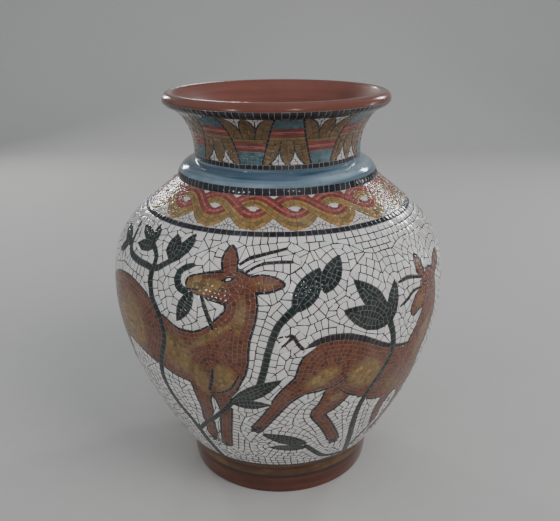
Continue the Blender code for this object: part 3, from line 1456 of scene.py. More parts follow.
@dataclass
class TesseraMaker:
    """Turns flat tesserae into small glazed tiles that stand on the clay.

    Lifts, tuck and rounding are in millimetres. The strips are those that the
    unrolled pieces are laid in, one above another, for baking.
    """

    skin: Skin
    chance: np.random.Generator
    foot_lift: float = -0.20
    top_lift: float = 0.06
    tuck: float = 0.14
    rounding: float = 0.32
    tilt: float = 0.020
    most_flat: int = 8
    most_line: float = 0.35
    most_edge: float = 0.8
    warmth: float = 0.3
    least_light: float = 0.55
    most_light: float = 1.5
    strips: int = 3
    strip_margin: float = 8.0
    end_margin: float = 1.0
    skirt_inset: float = 0.015

    def colours(self, kind: Tint, tones: list) -> list[Colour]:
        """Pick the colours of a tessera.

        Args:
            kind: Its kind.
            tones: How warm each corner is.

        Returns:
            The colour at each corner.
        """
        style = kind.value
        light = 1.0 + self.chance.normal(0.0, style.change)
        warm = self.chance.normal(0.0, self.warmth * style.change)
        light = min(max(light, self.least_light), self.most_light)
        out = []
        for tone in tones:
            base = style.colour
            if style.second:
                base = tuple(a + (b - a) * tone for a, b in zip(base, style.second))
            out.append((base[0] * light * (1.0 + warm), base[1] * light, base[2] * light * (1.0 - warm)))
        return out

    def build(self, name: str, tiling: Tiling, material: bpy.types.Material, slot: str) -> bpy.types.Object:
        """Make one piece of many tesserae.

        Args:
            name: The piece's name.
            tiling: The tesserae.
            material: Their finish.
            slot: Not used.

        Returns:
            The piece.
        """
        by_count: dict[int, list[int]] = {}
        for index, corners in enumerate(tiling.corners):
            by_count.setdefault(len(corners), []).append(index)
        heights = [y for corners in tiling.corners for _, y in corners]
        low, high = min(heights) - self.end_margin, max(heights) + self.end_margin
        places, loops, starts, tints, maps = [], [], [], [], []
        total, used = 0, 0
        for sides, members in sorted(by_count.items()):
            part = self.rings(tiling, sides, members, low, high)
            places.append(part[0])
            loops.append(part[1] + total)
            starts.append(part[2] + used)
            tints.append(part[3])
            maps.append(part[4])
            total += len(part[0])
            used += len(part[1])
        piece = make_piece(name, np.vstack(places), np.concatenate(loops), np.concatenate(starts),
                           material)
        tint = piece.data.color_attributes.new("tint", "FLOAT_COLOR", "CORNER")
        tint.data.foreach_set("color", np.vstack(tints).astype(np.float32).ravel())
        unrolled = piece.data.uv_layers.new(name="OFBake")
        unrolled.data.foreach_set("uv", np.vstack(maps).astype(np.float32).ravel())
        LOG.info("%s: %d tesserae", name, len(tiling.corners))
        return piece

    def rings(self, tiling: Tiling, sides: int, members: list[int], low: float, high: float) -> tuple:
        """Make the tesserae that have one number of sides.

        Each has a skirt that goes into the clay, a bevel and a top. The top is one flat
        face, or one folded from side to side if there are many sides.

        Args:
            tiling: All tesserae.
            sides: The number of sides.
            members: Which of them have it.
            low: The least Y of the piece.
            high: The greatest Y of the piece.

        Returns:
            Vertices, vertex numbers, face starts, corner colours and unrolled corners.
        """
        shape = np.array([tiling.corners[index] for index in members])
        count = len(members)
        dot = tau * PLANE_RADIUS / Canvas.columns
        shape = moved_out(shape, np.full(count, 0.5 * dot))
        centre = shape.mean(axis=1)
        grow = PLANE_RADIUS / self.skin.radius_at(centre[:, 1])
        following = np.roll(shape, -1, axis=1)
        area = 0.5 * np.abs(np.sum(shape[:, :, 0] * following[:, :, 1] - shape[:, :, 1] * following[:, :, 0],
                                   axis=1))
        around = np.sum(np.linalg.norm(following - shape, axis=2), axis=1)
        room = 2.0 * area / around
        half_line = np.array([tiling.kinds[index].value.half_line for index in members]) * grow
        half_line = np.minimum(half_line, self.most_line * room)
        edge = np.minimum(half_line + self.rounding * grow, self.most_edge * room)
        rings = [moved_out(shape, self.tuck * grow), moved_out(shape, -half_line), moved_out(shape, -edge)]
        lean = self.chance.normal(0.0, self.tilt, (count, 1, 2)) / grow[:, None, None]
        places = []
        for ring, lift in zip(rings, (self.foot_lift, 0.0, self.top_lift)):
            rise = lift + np.sum((ring - centre[:, None, :]) * lean, axis=2) * (lift >= 0.0)
            places.append(self.skin.place(ring[:, :, 0], ring[:, :, 1], rise))
        vertices = np.concatenate(places, axis=1).reshape(-1, 3)
        around_ids = np.arange(sides)
        after = (around_ids + 1) % sides
        skirt = np.stack([around_ids, after, after + sides, around_ids + sides], axis=1)
        bevel = skirt + sides
        top = around_ids + 2 * sides
        top_starts = [8 * sides]
        if sides > self.most_flat:
            folds = np.arange(sides // 2 - 1)
            top = np.stack([-folds % sides, folds + 1, folds + 2, (-folds - 1) % sides], axis=1) + 2 * sides
            top_starts = 8 * sides + 4 * folds
        pattern = np.concatenate([skirt.ravel(), bevel.ravel(), top.ravel()])
        loops = (np.arange(count)[:, None] * 3 * sides + pattern[None, :]).ravel()
        face_starts = np.concatenate([np.arange(2 * sides) * 4, top_starts])
        starts = (np.arange(count)[:, None] * len(pattern) + face_starts[None, :]).ravel()
        glaze = np.array([self.colours(tiling.kinds[index], tiling.tones[index]) for index in members])
        lines = np.array([tiling.kinds[index].value.line for index in members])
        corner_side = pattern % sides
        tints = glaze[:, corner_side, :]
        tints[:, :4 * sides, :] = lines[:, None, :]
        tints = np.concatenate([tints, np.ones(tints.shape[:2] + (1,))], axis=2).reshape(-1, 4)
        width = tau * PLANE_RADIUS / self.strips
        band = np.clip(np.floor((centre[:, 0] + 0.5 * tau * PLANE_RADIUS) / width), 0, self.strips - 1)
        margin = self.strip_margin
        whole = max(width + 2.0 * margin, self.strips * (high - low + margin))
        skirt_map = (1.0 - self.skirt_inset) * shape + self.skirt_inset * centre[:, None, :]
        flat = np.concatenate([skirt_map, rings[1], rings[2]], axis=1)
        u = flat[:, :, 0] + 0.5 * tau * PLANE_RADIUS - band[:, None] * width + margin
        v = flat[:, :, 1] - low + band[:, None] * (high - low + margin)
        unrolled = np.stack([u, v], axis=2)[:, pattern, :].reshape(-1, 2) / whole
        return vertices, loops, starts, tints, unrolled


# What is drawn


@dataclass(frozen=True)
class LookingBackDeer:
    """A standing deer that turns its head over its back."""

    body: tuple = (
        ((-154, 140, 14), (-140, 153, 19), (-120, 156, 23), (-102, 153, 23), (-84, 145, 20), (-66, 139, 18.5),
         (-42, 138, 20)),
        ((-38, 142, 19), (-29, 159, 12), (-22.5, 171, 9), (-21, 181, 8.5), (-23, 190, 8)),
        ((-24, 190, 8.6), (-34, 189.4, 8.8), (-45, 189.4, 6.8), (-53.5, 188.6, 5.2)),
        ((-50, 122, 9), (-53.5, 108, 5.2), (-53.5, 92, 3.8), (-57, 72, 3.8), (-60, 50, 4.0)),
        ((-36, 124, 10), (-38, 110, 5.2), (-37.8, 97, 3.7), (-42, 74, 3.3), (-48.5, 45, 3.8)),
        ((-154, 134, 13), (-156, 110, 8), (-161, 88, 4.6), (-158, 62, 3.6), (-163, 42, 4.2)),
        ((-140, 132, 12), (-140, 108, 7), (-146, 84, 4.2), (-143, 60, 3.6), (-147, 38, 4.2)),
    )
    ears: tuple = (((-28.5, 195), (-32, 218.8), 9.5), ((-21, 191.5), (5, 192.3), 9.8))
    horns: tuple = (((-24, 204.5, 1.1), (-18, 209.6, 1.3), (-5.2, 213.7, 1.2), (7.3, 217.3, 0.9)),
                    ((-19, 200, 1.0), (-10.5, 205.4, 1.1), (-0.5, 207.1, 1.0), (11, 207.1, 0.8)))
    lines: tuple = (((-41.4, 134, 0.8), (-43.5, 124, 1.4), (-46.4, 115, 1.2)),
                    ((-45.5, 113, 0.8), (-38.7, 114, 0.9), (-30.4, 120, 0.9), (-24.5, 131, 0.7)),
                    ((-148, 128, 1.2), (-149, 114, 1.5)), ((-58.5, 185.6, 0.7), (-50.5, 185.8, 0.6)),
                    ((-60, 52, 2.4), (-61, 47.5, 2.4)), ((-48.5, 46, 2.4), (-49.5, 41.5, 2.4)))
    eye: tuple = ((-34.3, 193.0, 0.9), (-30.4, 194.5, 2.0), (-26.8, 195.4, 0.9))
    white: tuple = ((-31.5, 194.1, 0.85), (-29.3, 194.8, 0.85))
    warm: tuple = (
        (-112, 150, 17, 19, 15, 0.9), (-67, 139.5, 11, 14, 20, 0.9), (-51.5, 123, 6, 12, 10, 1.0),
        (-35, 127, 8, 11, -10, 1.0), (-42, 157, 20, 2.6, 35, 0.8), (-140, 140, 10, 16, 0, 0.5),
        (-47, 189, 14, 5, 5, 0.9), (-22, 172, 3.5, 12, -10, 0.6), (-8, 192, 8, 2.4, 0, 0.4))


@dataclass(frozen=True)
class BoundingDeer:
    """A deer that bounds away to the right."""

    body: tuple = (
        ((33.5, 137.5, 17.6), (46, 134.3, 20.3), (60, 127.3, 20.8), (72, 120.5, 20.6), (84, 115.2, 21.4),
         (102, 112, 19)),
        ((26, 135, 12), (20, 126, 9), (11, 119.5, 6), (4, 112, 5), (-1, 103, 3.9), (-9, 89, 3.3),
         (-17, 76, 3.4)),
        ((41, 112, 9), (35, 101, 6.5), (28.5, 93.5, 4.0), (36, 80, 3.6), (45, 62, 3.6), (50, 49, 3.8)),
        ((102, 120, 16), (114, 138, 13.5), (121, 156, 10.5), (121, 171, 9)),
        ((119, 174, 8.5), (109, 168, 6.2), (100, 161, 4.0)),
        ((104, 104, 10), (94, 96, 5.5), (88, 83, 3.8), (88, 72, 3.2), (91.5, 57, 2.8)),
        ((114, 100, 11), (115, 84, 6), (112, 68, 4), (106, 54, 3.4), (99, 40, 3.2)),
    )
    ears: tuple = (((111.5, 178), (107.8, 196), 7.0), ((127, 176), (146, 188), 8.0))
    horns: tuple = (((110, 179.5, 1.0), (94.2, 183.6, 1.2), (83.5, 182.6, 0.9)),
                    ((108, 172.8, 0.9), (98.4, 173.3, 1.0), (91, 169.2, 1.0), (83.3, 166.5, 0.8)))
    lines: tuple = (((17, 149.6, 1.0), (12.6, 155.2, 1.0), (9.9, 160, 1.1), (5.8, 160.8, 1.0),
                     (1, 159.6, 0.7)),
                    ((9.2, 159.2, 0.9), (3, 153.8, 0.6)),
                    ((16.5, 149, 1.1), (23, 154.6, 1.9), (32, 156.9, 2.2), (44.5, 156.2, 2.2),
                     (57, 151.6, 2.0), (72, 143.6, 1.7), (86, 138.6, 1.3), (98, 136.6, 1.0)),
                    ((19, 116.3, 0.7), (28, 117.4, 0.9), (38, 120.2, 0.9), (46, 126, 0.8)),
                    ((39, 118.5, 0.7), (48, 110.5, 0.9), (57, 105.5, 0.7)),
                    ((-14.5, 79, 2.4), (-19.5, 74.5, 2.0)), ((47.5, 50.5, 2.4), (52.5, 46.5, 2.4)),
                    ((91, 60, 2.0), (92, 54.5, 2.2)), ((101, 43, 2.4), (97.5, 37.5, 2.4)))
    eye: tuple = ((111.2, 173.2, 0.8), (114.2, 174.6, 1.6), (117.5, 175, 0.8))
    white: tuple = ((113.2, 174.2, 0.75), (115.2, 174.8, 0.75))
    warm: tuple = (
        (29, 128.3, 12.6, 5.6, 32, 1.0), (60, 125, 13, 11.5, -10, 1.0), (41, 108.5, 5.5, 3, 20, 0.9),
        (92, 104, 11, 8, 0, 0.5), (114, 134, 5, 18, -25, 0.6), (106, 165, 6, 3, 30, 0.5))


@dataclass(frozen=True)
class Plants:
    """The plants: stems as X, Y and half width, leaves as base, tip and width."""

    stems: tuple = (
        ((-66, 3, 3.7), (-70.7, 32.5, 3.4), (-75, 66, 2.9), (-84, 87, 2.5), (-88.5, 109, 2.1),
         (-85, 127, 2.1), (-77, 147, 2.1), (-78.5, 161, 2.2), (-86, 173, 2.3), (-89.5, 184, 2.3),
         (-89.5, 192, 2.4)),
        ((-89.5, 192, 2.1), (-84.3, 193.8, 2.0), (-76.4, 199.8, 1.9), (-69.6, 204.5, 1.9)),
        ((-89, 192, 1.9), (-90.6, 201.1, 1.8), (-99.5, 207.5, 1.7)),
        ((-89.5, 191, 2.1), (-95, 192.5, 2.0), (-113, 193, 2.0), (-124.6, 197, 1.9), (-128.3, 203, 1.7),
         (-137, 217, 1.3)),
        ((-72, 59, 1.7), (-59.7, 73.3, 1.8), (-40.8, 93.9, 1.9), (-29.8, 108.5, 2.1), (-14, 120, 2.1),
         (-8.9, 133.4, 2.1), (-4.7, 151.7, 2.0), (1, 167, 2.1), (11.5, 178, 2.4)),
        ((80, 3, 3.6), (73.3, 25, 3.2), (63.5, 70, 2.7), (64, 99, 2.2), (76, 125, 2.0), (80, 135, 2.0),
         (79, 148, 2.1), (74.5, 161, 2.4)),
        ((79.5, 24, 2.6), (85, 38, 2.4), (91, 52, 2.0)),
        ((76, 10, 2.8), (50, 17, 2.6), (36, 32, 2.5), (24, 49, 2.2)),
        ((-47.1, 182, 1.2), (-43, 172, 1.25), (-39.3, 162.6, 1.1)),
        ((-56.5, 200.6, 1.7), (-63.9, 197.2, 2.1), (-66.3, 191, 2.5), (-63.6, 185, 2.4), (-57, 182.4, 2.0)),
    )
    leaves: tuple = (
        ((-71, 203), (-64.3, 226), 10.5), ((-75.9, 200.6), (-81.2, 221.5), 13.0),
        ((-99.5, 207), (-107.3, 226), 8.0), ((-102, 209.5), (-127, 218.5), 9.0),
        ((-96.5, 205.5), (-119.5, 203.6), 9.0),
        ((-127, 198.5), (-160, 210), 9.0), ((-131, 201), (-145, 190), 9.0),
        ((-33, 106), (3, 129), 11.5), ((-32, 105), (-4, 106), 8.0),
        ((10.5, 175.5), (29, 202.3), 15.0), ((28.5, 185.5), (43.8, 209.5), 12.8),
        ((73.5, 164.5), (49.8, 191.5), 13.5), ((74.5, 159), (41, 173.5), 15.5),
        ((74.8, 158), (81.3, 186), 10.0),
        ((25, 52), (-14, 71), 13.5), ((26, 46), (-9, 49), 10.5), ((-53.5, 184.5), (-64.5, 163), 9.5),
    )

    back_stems: tuple = (
        ((238, 3, 3.2), (243, 45, 2.8), (234, 90, 2.6), (240, 135, 2.4), (236, 178, 2.2)),
        ((238, 60, 2.0), (252, 78, 1.8), (262, 98, 1.4)), ((237, 96, 2.0), (222, 112, 1.8), (212, 132, 1.4)),
        ((239, 132, 2.0), (254, 148, 1.8), (264, 166, 1.4)),
        ((237, 166, 1.8), (224, 180, 1.6), (218, 196, 1.2)),
        ((-256, 3, 3.2), (-262, 50, 2.8), (-252, 98, 2.6), (-258, 146, 2.4), (-252, 186, 2.2)),
        ((-258, 70, 2.0), (-274, 86, 1.8), (-284, 108, 1.4)),
        ((-254, 104, 2.0), (-238, 118, 1.8), (-228, 138, 1.4)),
        ((-257, 140, 2.0), (-272, 156, 1.8), (-280, 176, 1.4)),
        ((-254, 172, 1.8), (-240, 184, 1.6), (-232, 200, 1.2)),
        ((352, 3, 2.8), (346, 40, 2.4), (352, 84, 2.2), (347, 120, 2.0)),
        ((349, 52, 1.8), (334, 66, 1.6), (326, 82, 1.3)), ((350, 86, 1.8), (364, 98, 1.5), (370, 114, 1.2)),
        ((190, 3, 2.4), (184, 26, 2.2), (172, 46, 1.8)), ((-206, 3, 2.4), (-200, 30, 2.2), (-188, 52, 1.8)),
    )
    back_leaves: tuple = (
        ((236, 176), (230, 216), 15.0), ((238, 174), (254, 208), 14.0), ((260, 94), (274, 124), 13.0),
        ((213, 128), (200, 158), 13.0), ((262, 162), (278, 192), 13.0), ((219, 192), (208, 218), 11.0),
        ((240, 40), (216, 62), 13.0), ((242, 30), (270, 50), 13.0),
        ((-252, 184), (-258, 220), 15.0), ((-252, 182), (-236, 214), 13.0), ((-283, 104), (-298, 134), 13.0),
        ((-229, 134), (-214, 162), 13.0), ((-279, 172), (-296, 200), 13.0), ((-233, 196), (-222, 219), 11.0),
        ((-260, 36), (-286, 60), 13.0), ((-259, 28), (-234, 52), 13.0),
        ((347, 116), (338, 152), 14.0), ((348, 116), (360, 150), 13.0), ((327, 78), (312, 102), 12.0),
        ((369, 110), (373, 140), 10.0), ((349, 26), (330, 44), 11.0),
        ((173, 44), (158, 70), 11.0), ((176, 40), (196, 60), 11.0), ((-189, 48), (-176, 76), 12.0),
        ((-196, 34), (-216, 56), 11.0),
    )


@dataclass
class Band:
    """A stretch of the vase's side between two heights."""

    skin: Skin
    low_height: float
    high_height: float

    @property
    def span(self) -> Point:
        """The Y of its lower and of its upper edge."""
        return self.skin.y_at(self.low_height), self.skin.y_at(self.high_height)


class DrawnBand(Band):
    """A band that is drawn and then set in tesserae."""

    seams: tuple[Seam, ...] = ()

    def draw(self) -> Canvas:
        """Draw the band; every kind of band has its own drawing."""
        raise NotImplementedError

    def tiling(self, chance: np.random.Generator) -> Tiling:
        """Set the band's tesserae."""
        return Setter(self.draw(), self.skin, self.seams, chance).set()


@dataclass
class Field(DrawnBand):
    """The white field with its deer and plants."""

    melt: float = 1.6
    ear_bend: float = 0.04
    grade: tuple[Point, Point] = ((50.0, 190.0), (0.94, 1.12))
    left: LookingBackDeer = LookingBackDeer()
    right: BoundingDeer = BoundingDeer()
    plants: Plants = Plants()

    seams = (Seam(Tint.WHITE, Tint.HIDE, Tint.DARK, 1.6),)

    def draw_deer(self, canvas: Canvas, deer: LookingBackDeer | BoundingDeer) -> None:
        """Draw one deer.

        Args:
            canvas: The drawing.
            deer: The deer.
        """
        canvas.blob(deer.body, Tint.HIDE, self.melt)
        for base, tip, width in deer.ears:
            canvas.leaf(base, tip, width, Tint.HIDE, self.ear_bend)
        canvas.shade(deer.warm, Tint.HIDE)
        for line in (*deer.horns, *deer.lines, deer.eye):
            canvas.stroke(line, Tint.DARK)
        canvas.stroke(deer.white, Tint.EYE)

    def draw(self) -> Canvas:
        """Draw the whole field.

        Returns:
            The drawing.
        """
        canvas = Canvas(*self.span, Tint.WHITE)
        canvas.grade = self.grade
        self.draw_deer(canvas, self.left)
        self.draw_deer(canvas, self.right)
        for stem in self.plants.stems + self.plants.back_stems:
            canvas.stroke(stem, Tint.STEM)
        for number, (base, tip, width) in enumerate(self.plants.leaves + self.plants.back_leaves):
            canvas.leaf(base, tip, width, Tint.FROND if number % 2 else Tint.LEAF)
        return canvas


@dataclass
class Guilloche(DrawnBand):
    """The plait of two strands round the shoulder.

    Shares are of the band's height. Each strand is laid in bands across its width,
    from minus 1 at its lower side to 1 at its upper one.
    """

    lobes: int = 19
    first_eye: float = radians(8.3)
    middle: float = 0.605
    swing: float = 0.275
    eye_share: float = 0.575
    eye_long: float = 2.1
    eye_high: float = 1.7
    eye_lean: float = 0.5
    seam_margin: float = 12.0
    above: float = 0.22
    below: float = 0.20
    deeper: float = 0.12
    bands: tuple = ((Tint.CRIMSON, 0.66, 1.0), (Tint.ROSE, 0.33, 0.66), (Tint.CRIMSON, 0.0, 0.33),
                    (Tint.OCHRE, -0.33, 0.0), (Tint.OLIVE, -0.66, -0.33), (Tint.OCHRE, -1.0, -0.66))

    def draw(self) -> Canvas:
        """Draw the plait.

        Returns:
            The drawing.
        """
        low, high = self.span
        canvas = Canvas(low, high, Tint.CHALK)
        where, x, y = canvas.window((-canvas.half, low), (canvas.half, high))
        tall = high - low
        quick = 0.5 * self.lobes / PLANE_RADIUS
        phase = quick * x - 0.5 * self.lobes * self.first_eye
        middle = low + self.middle * tall
        steep = self.swing * tall * quick * np.sin(phase[0])
        walked = np.cumsum(np.sqrt(1.0 + steep ** 2)) * canvas.dot
        for rising in (True, False):
            for lane in (1.0, -1.0):
                centre = middle + lane * self.swing * tall * np.cos(phase)
                slope = -lane * self.swing * tall * quick * np.sin(phase)
                goes = (slope > 0.0) if rising else (slope <= 0.0)
                flat = 1.0 / np.sqrt(1.0 + slope ** 2)
                off = (y - centre) * flat / tall
                depth = self.below + self.deeper * np.maximum(0.0, -lane * np.cos(phase)) ** 2
                off = np.where(off > 0.0, off / self.above, off / depth)
                for tint, least, most in self.bands:
                    mask = (off <= most) & (off > least) & goes
                    canvas.paint(where, mask, tint, walked[None, :] + (y - centre) * slope * flat)
        for lobe in range(self.lobes):
            cx = wrapped(self.first_eye + lobe * tau / self.lobes) * PLANE_RADIUS
            if abs(cx) > canvas.half - self.seam_margin:
                continue
            eye = low + self.eye_share * tall
            canvas.stroke(((cx - self.eye_long, eye + self.eye_lean, self.eye_high),
                           (cx + self.eye_long, eye - self.eye_lean, self.eye_high)), Tint.EYE)
        return canvas


@dataclass
class LotusBand(DrawnBand):
    """Upright and hanging lotus bells round the neck.

    Shares up a bell are of its height, and shares across it are of half its width there.
    """

    bells: int = 8
    first_bell: float = radians(-15.8)
    foot_share: float = 0.31
    flare: float = 0.38
    border: float = 1.45
    rim: float = 0.95
    rows: tuple = ((0.0, 0.25, Tint.TEAL), (0.25, 0.315, Tint.CRIMSON), (0.315, 0.38, Tint.ROSE),
                   (0.38, 0.445, Tint.CRIMSON), (0.445, 0.51, Tint.OLIVE), (0.51, 1.0, Tint.PETAL))
    middle_edge: tuple = ((0.35, 0.68), (0.29, 0.79), (0.20, 0.90), (0.07, 1.0))
    side_edge: tuple = ((0.35, 0.68), (0.44, 0.79), (0.56, 0.90), (0.74, 1.0))
    root: Point = (0.30, 0.51)

    def draw(self) -> Canvas:
        """Draw the bells.

        Returns:
            The drawing.
        """
        low, high = self.span
        canvas = Canvas(low, high, Tint.CHALK)
        tall = high - low
        half = pi * PLANE_RADIUS / self.bells
        for bell in range(2 * self.bells):
            hanging = bell % 2 == 1
            angle = wrapped(self.first_bell + bell * pi / self.bells)
            for lap in (-1, 0, 1):
                cx = angle * PLANE_RADIUS + lap * 2.0 * canvas.half
                if abs(cx) < canvas.half + half:
                    self.draw_bell(canvas, cx, high if hanging else low, -tall if hanging else tall, half)
        for bell in range(2 * self.bells):
            cx = wrapped(self.first_bell + (bell + 0.5) * pi / self.bells) * PLANE_RADIUS
            lean = 0.5 * self.flare * half * (1.0 if bell % 2 == 0 else -1.0)
            path = ((cx - lean, low), (cx, 0.5 * (low + high)), (cx + lean, high))
            canvas.stroke(tuple((x, y, self.border) for x, y in path), Tint.DARK)
        return canvas

    def draw_bell(self, canvas: Canvas, cx: float, base: float, tall: float, half: float) -> None:
        """Draw one bell.

        Args:
            canvas: The drawing.
            cx: The X of its middle.
            base: The Y of its narrow end.
            tall: Its height, which is negative if it hangs.
            half: Half of the space between two upright bells.
        """

        def spot(side: float, share: float) -> Point:
            """Return the place that lies a share of the way across and up the bell."""
            return (cx + side * (self.foot_share + self.flare * share) * half, base + share * tall)

        for begin, finish, tint in self.rows:
            corners = (spot(-1.0, begin), spot(1.0, begin), spot(1.0, finish), spot(-1.0, finish))
            canvas.polygon(np.array(corners), tint)
        for side in (-1.0, 1.0):
            middle = spline(tuple(spot(side * a, b) for a, b in self.middle_edge))
            outer = spline(tuple(spot(side * a, b) for a, b in self.side_edge))
            canvas.polygon(np.vstack([middle, outer[::-1]]), Tint.CHALK)
            root = np.array([spot(side * self.root[0], self.root[1])])
            for edge in (np.vstack([root, middle[::3]]), outer[::3]):
                canvas.stroke(tuple((x, y, self.rim) for x, y in edge.tolist()), Tint.DARK)


@dataclass
class BlackRow(Band):
    """One row of black tesserae round the vase, each bent up its height in steps."""

    count: int
    steps: int = 2
    joint_waver: float = 0.14
    lean_waver: float = 0.05

    def lay(self, tiling: Tiling, chance: np.random.Generator) -> None:
        """Add the row to a piece's tesserae.

        Args:
            tiling: The piece's tesserae.
            chance: The source of small differences.
        """
        low, high = self.span
        width = tau * PLANE_RADIUS / self.count
        joints = np.arange(self.count) + chance.uniform(-self.joint_waver, self.joint_waver, self.count)
        joints = joints * width
        joints = np.append(joints, joints[0] + self.count * width) - 0.5 * tau * PLANE_RADIUS
        lean = chance.uniform(-self.lean_waver, self.lean_waver, self.count + 1) * width
        lean[-1] = lean[0]
        shares = np.linspace(-1.0, 1.0, self.steps + 1)
        ys = 0.5 * (low + high) + 0.5 * (high - low) * shares
        for index in range(self.count):
            left = list(zip((joints[index] + lean[index] * shares).tolist(), ys.tolist()))
            right = list(zip((joints[index + 1] + lean[index + 1] * shares).tolist(), ys.tolist()))
            corners = left[:1] + right + left[:0:-1]
            tiling.add(corners, Tint.BLACK, [0.0] * len(corners))


# The studio


@dataclass(frozen=True)
class Lamp:
    """A soft light: its place round the vase in degrees and metres, its size and power."""

    name: str
    azimuth: float
    elevation: float
    distance: float
    size: tuple[float, float]
    power: float
    tint: Colour = (1.0, 1.0, 1.0)
    mirrored: bool = True


@dataclass
class Studio:
    """The floor, the backdrop, the lights and the camera."""

    width: int = 560
    focal: float = 684.055
    centre: Point = (286.861, 252.318)
    frame: Point = (280.0, 260.5)
    place: tuple[float, float, float] = (0.0067, -0.51341, 0.35327)
    pitch: float = radians(19.355)
    roll: float = radians(-0.380)
    sensor: float = 36.0
    target: tuple[float, float, float] = (0.0, 0.0, 0.19)
    room_colour: Colour = (0.86, 0.92, 1.0)
    room_strength: float = 0.44
    floor_front: float = -1.6
    floor_back: float = 1.3
    floor_half_width: float = 3.2
    sweep: float = 0.5
    sweep_begin: float = 0.1
    sweep_steps: int = 12
    wall_top: float = 2.6
    lamps: tuple[Lamp, ...] = (
        Lamp("key", 48.0, 40.0, 2.0, (1.1, 1.1), 21.0, mirrored=False),
        Lamp("left_fill", -75.0, 30.0, 2.0, (1.1, 1.1), 5.0, mirrored=False),
        Lamp("behind_left", -146.0, 15.0, 1.5, (0.14, 0.26), 3.2),
        Lamp("behind_right", 134.0, 24.0, 1.5, (0.18, 0.26), 4.0, (0.94, 0.97, 1.0)),
        Lamp("behind_middle", -170.0, 24.0, 1.4, (0.22, 0.08), 1.0),
        Lamp("right_window", 104.0, 4.0, 1.5, (0.10, 0.30), 1.2, (0.92, 0.97, 1.0)),
        Lamp("left_window", -41.0, 6.0, 1.5, (0.16, 0.12), 1.7, (0.95, 0.98, 1.0)),
        Lamp("leaf_window", 18.0, 19.0, 1.6, (0.10, 0.12), 0.9, (0.95, 0.98, 1.0)),
    )

    def camera(self) -> None:
        """Stand the camera where the photograph was taken from."""
        data = bpy.data.cameras.new("camera")
        data.sensor_fit = "HORIZONTAL"
        data.sensor_width = self.sensor
        data.lens = self.focal / self.width * self.sensor
        data.shift_x = (self.frame[0] - self.centre[0]) / self.width
        data.shift_y = (self.centre[1] - self.frame[1]) / self.width
        data.clip_start = 0.01
        camera = added("camera", data)
        camera.rotation_mode = "QUATERNION"
        tipped = Euler((pi / 2.0 - self.pitch, 0.0, 0.0)).to_quaternion()
        camera.rotation_quaternion = tipped @ Euler((0.0, 0.0, self.roll)).to_quaternion()
        camera.location = self.place
        bpy.context.scene.camera = camera

    def hang(self, lamp: Lamp) -> None:
        """Hang one soft light that faces the vase.

        Args:
            lamp: The light.
        """
        data = bpy.data.lights.new(lamp.name, "AREA")
        data.shape = "RECTANGLE"
        data.size, data.size_y = lamp.size
        data.energy = lamp.power
        data.color = lamp.tint
        light = added(lamp.name, data)
        turn, rise = radians(lamp.azimuth), radians(lamp.elevation)
        way = Vector((sin(turn) * cos(rise), -cos(turn) * cos(rise), sin(rise)))
        light.location = Vector(self.target) + way * lamp.distance
        light.rotation_mode = "QUATERNION"
        light.rotation_quaternion = (-way).to_track_quat("-Z", "Y")
        light.visible_camera = False
        light.visible_glossy = lamp.mirrored

    def floor(self) -> None:
        """Lay a plain pale floor that sweeps up behind the vase."""
        points = [(self.floor_front, 0.0), (self.floor_back, 0.0)]
        points += [(self.floor_back + self.sweep * sin(angle), self.sweep - self.sweep * cos(angle))
                   for angle in np.linspace(self.sweep_begin, pi / 2.0, self.sweep_steps)]
        points += [(self.floor_back + self.sweep, self.wall_top)]
        half = self.floor_half_width
        places = np.array([(x, y, z) for y, z in points for x in (-half, half)])
        faces = [(2 * k, 2 * k + 1, 2 * k + 3, 2 * k + 2) for k in range(len(points) - 1)]
        mesh = bpy.data.meshes.new("floor")
        mesh.from_pydata(places.tolist(), [], faces)
        mesh.shade_smooth()
        mesh.materials.append(PaperFinish().material())
        floor = added("floor", mesh)

    def world(self) -> None:
        """Fill the room with an even dim light."""
        world = bpy.data.worlds.new("room")
        world.use_nodes = True
        back = world.node_tree.nodes["Background"]
        back.inputs["Color"].default_value = (*self.room_colour, 1.0)
        back.inputs["Strength"].default_value = self.room_strength
        bpy.context.scene.world = world

    def build(self) -> None:
        """Make everything in the studio."""
        self.camera()
        self.floor()
        self.world()
        for lamp in self.lamps:
            self.hang(lamp)


# The vase


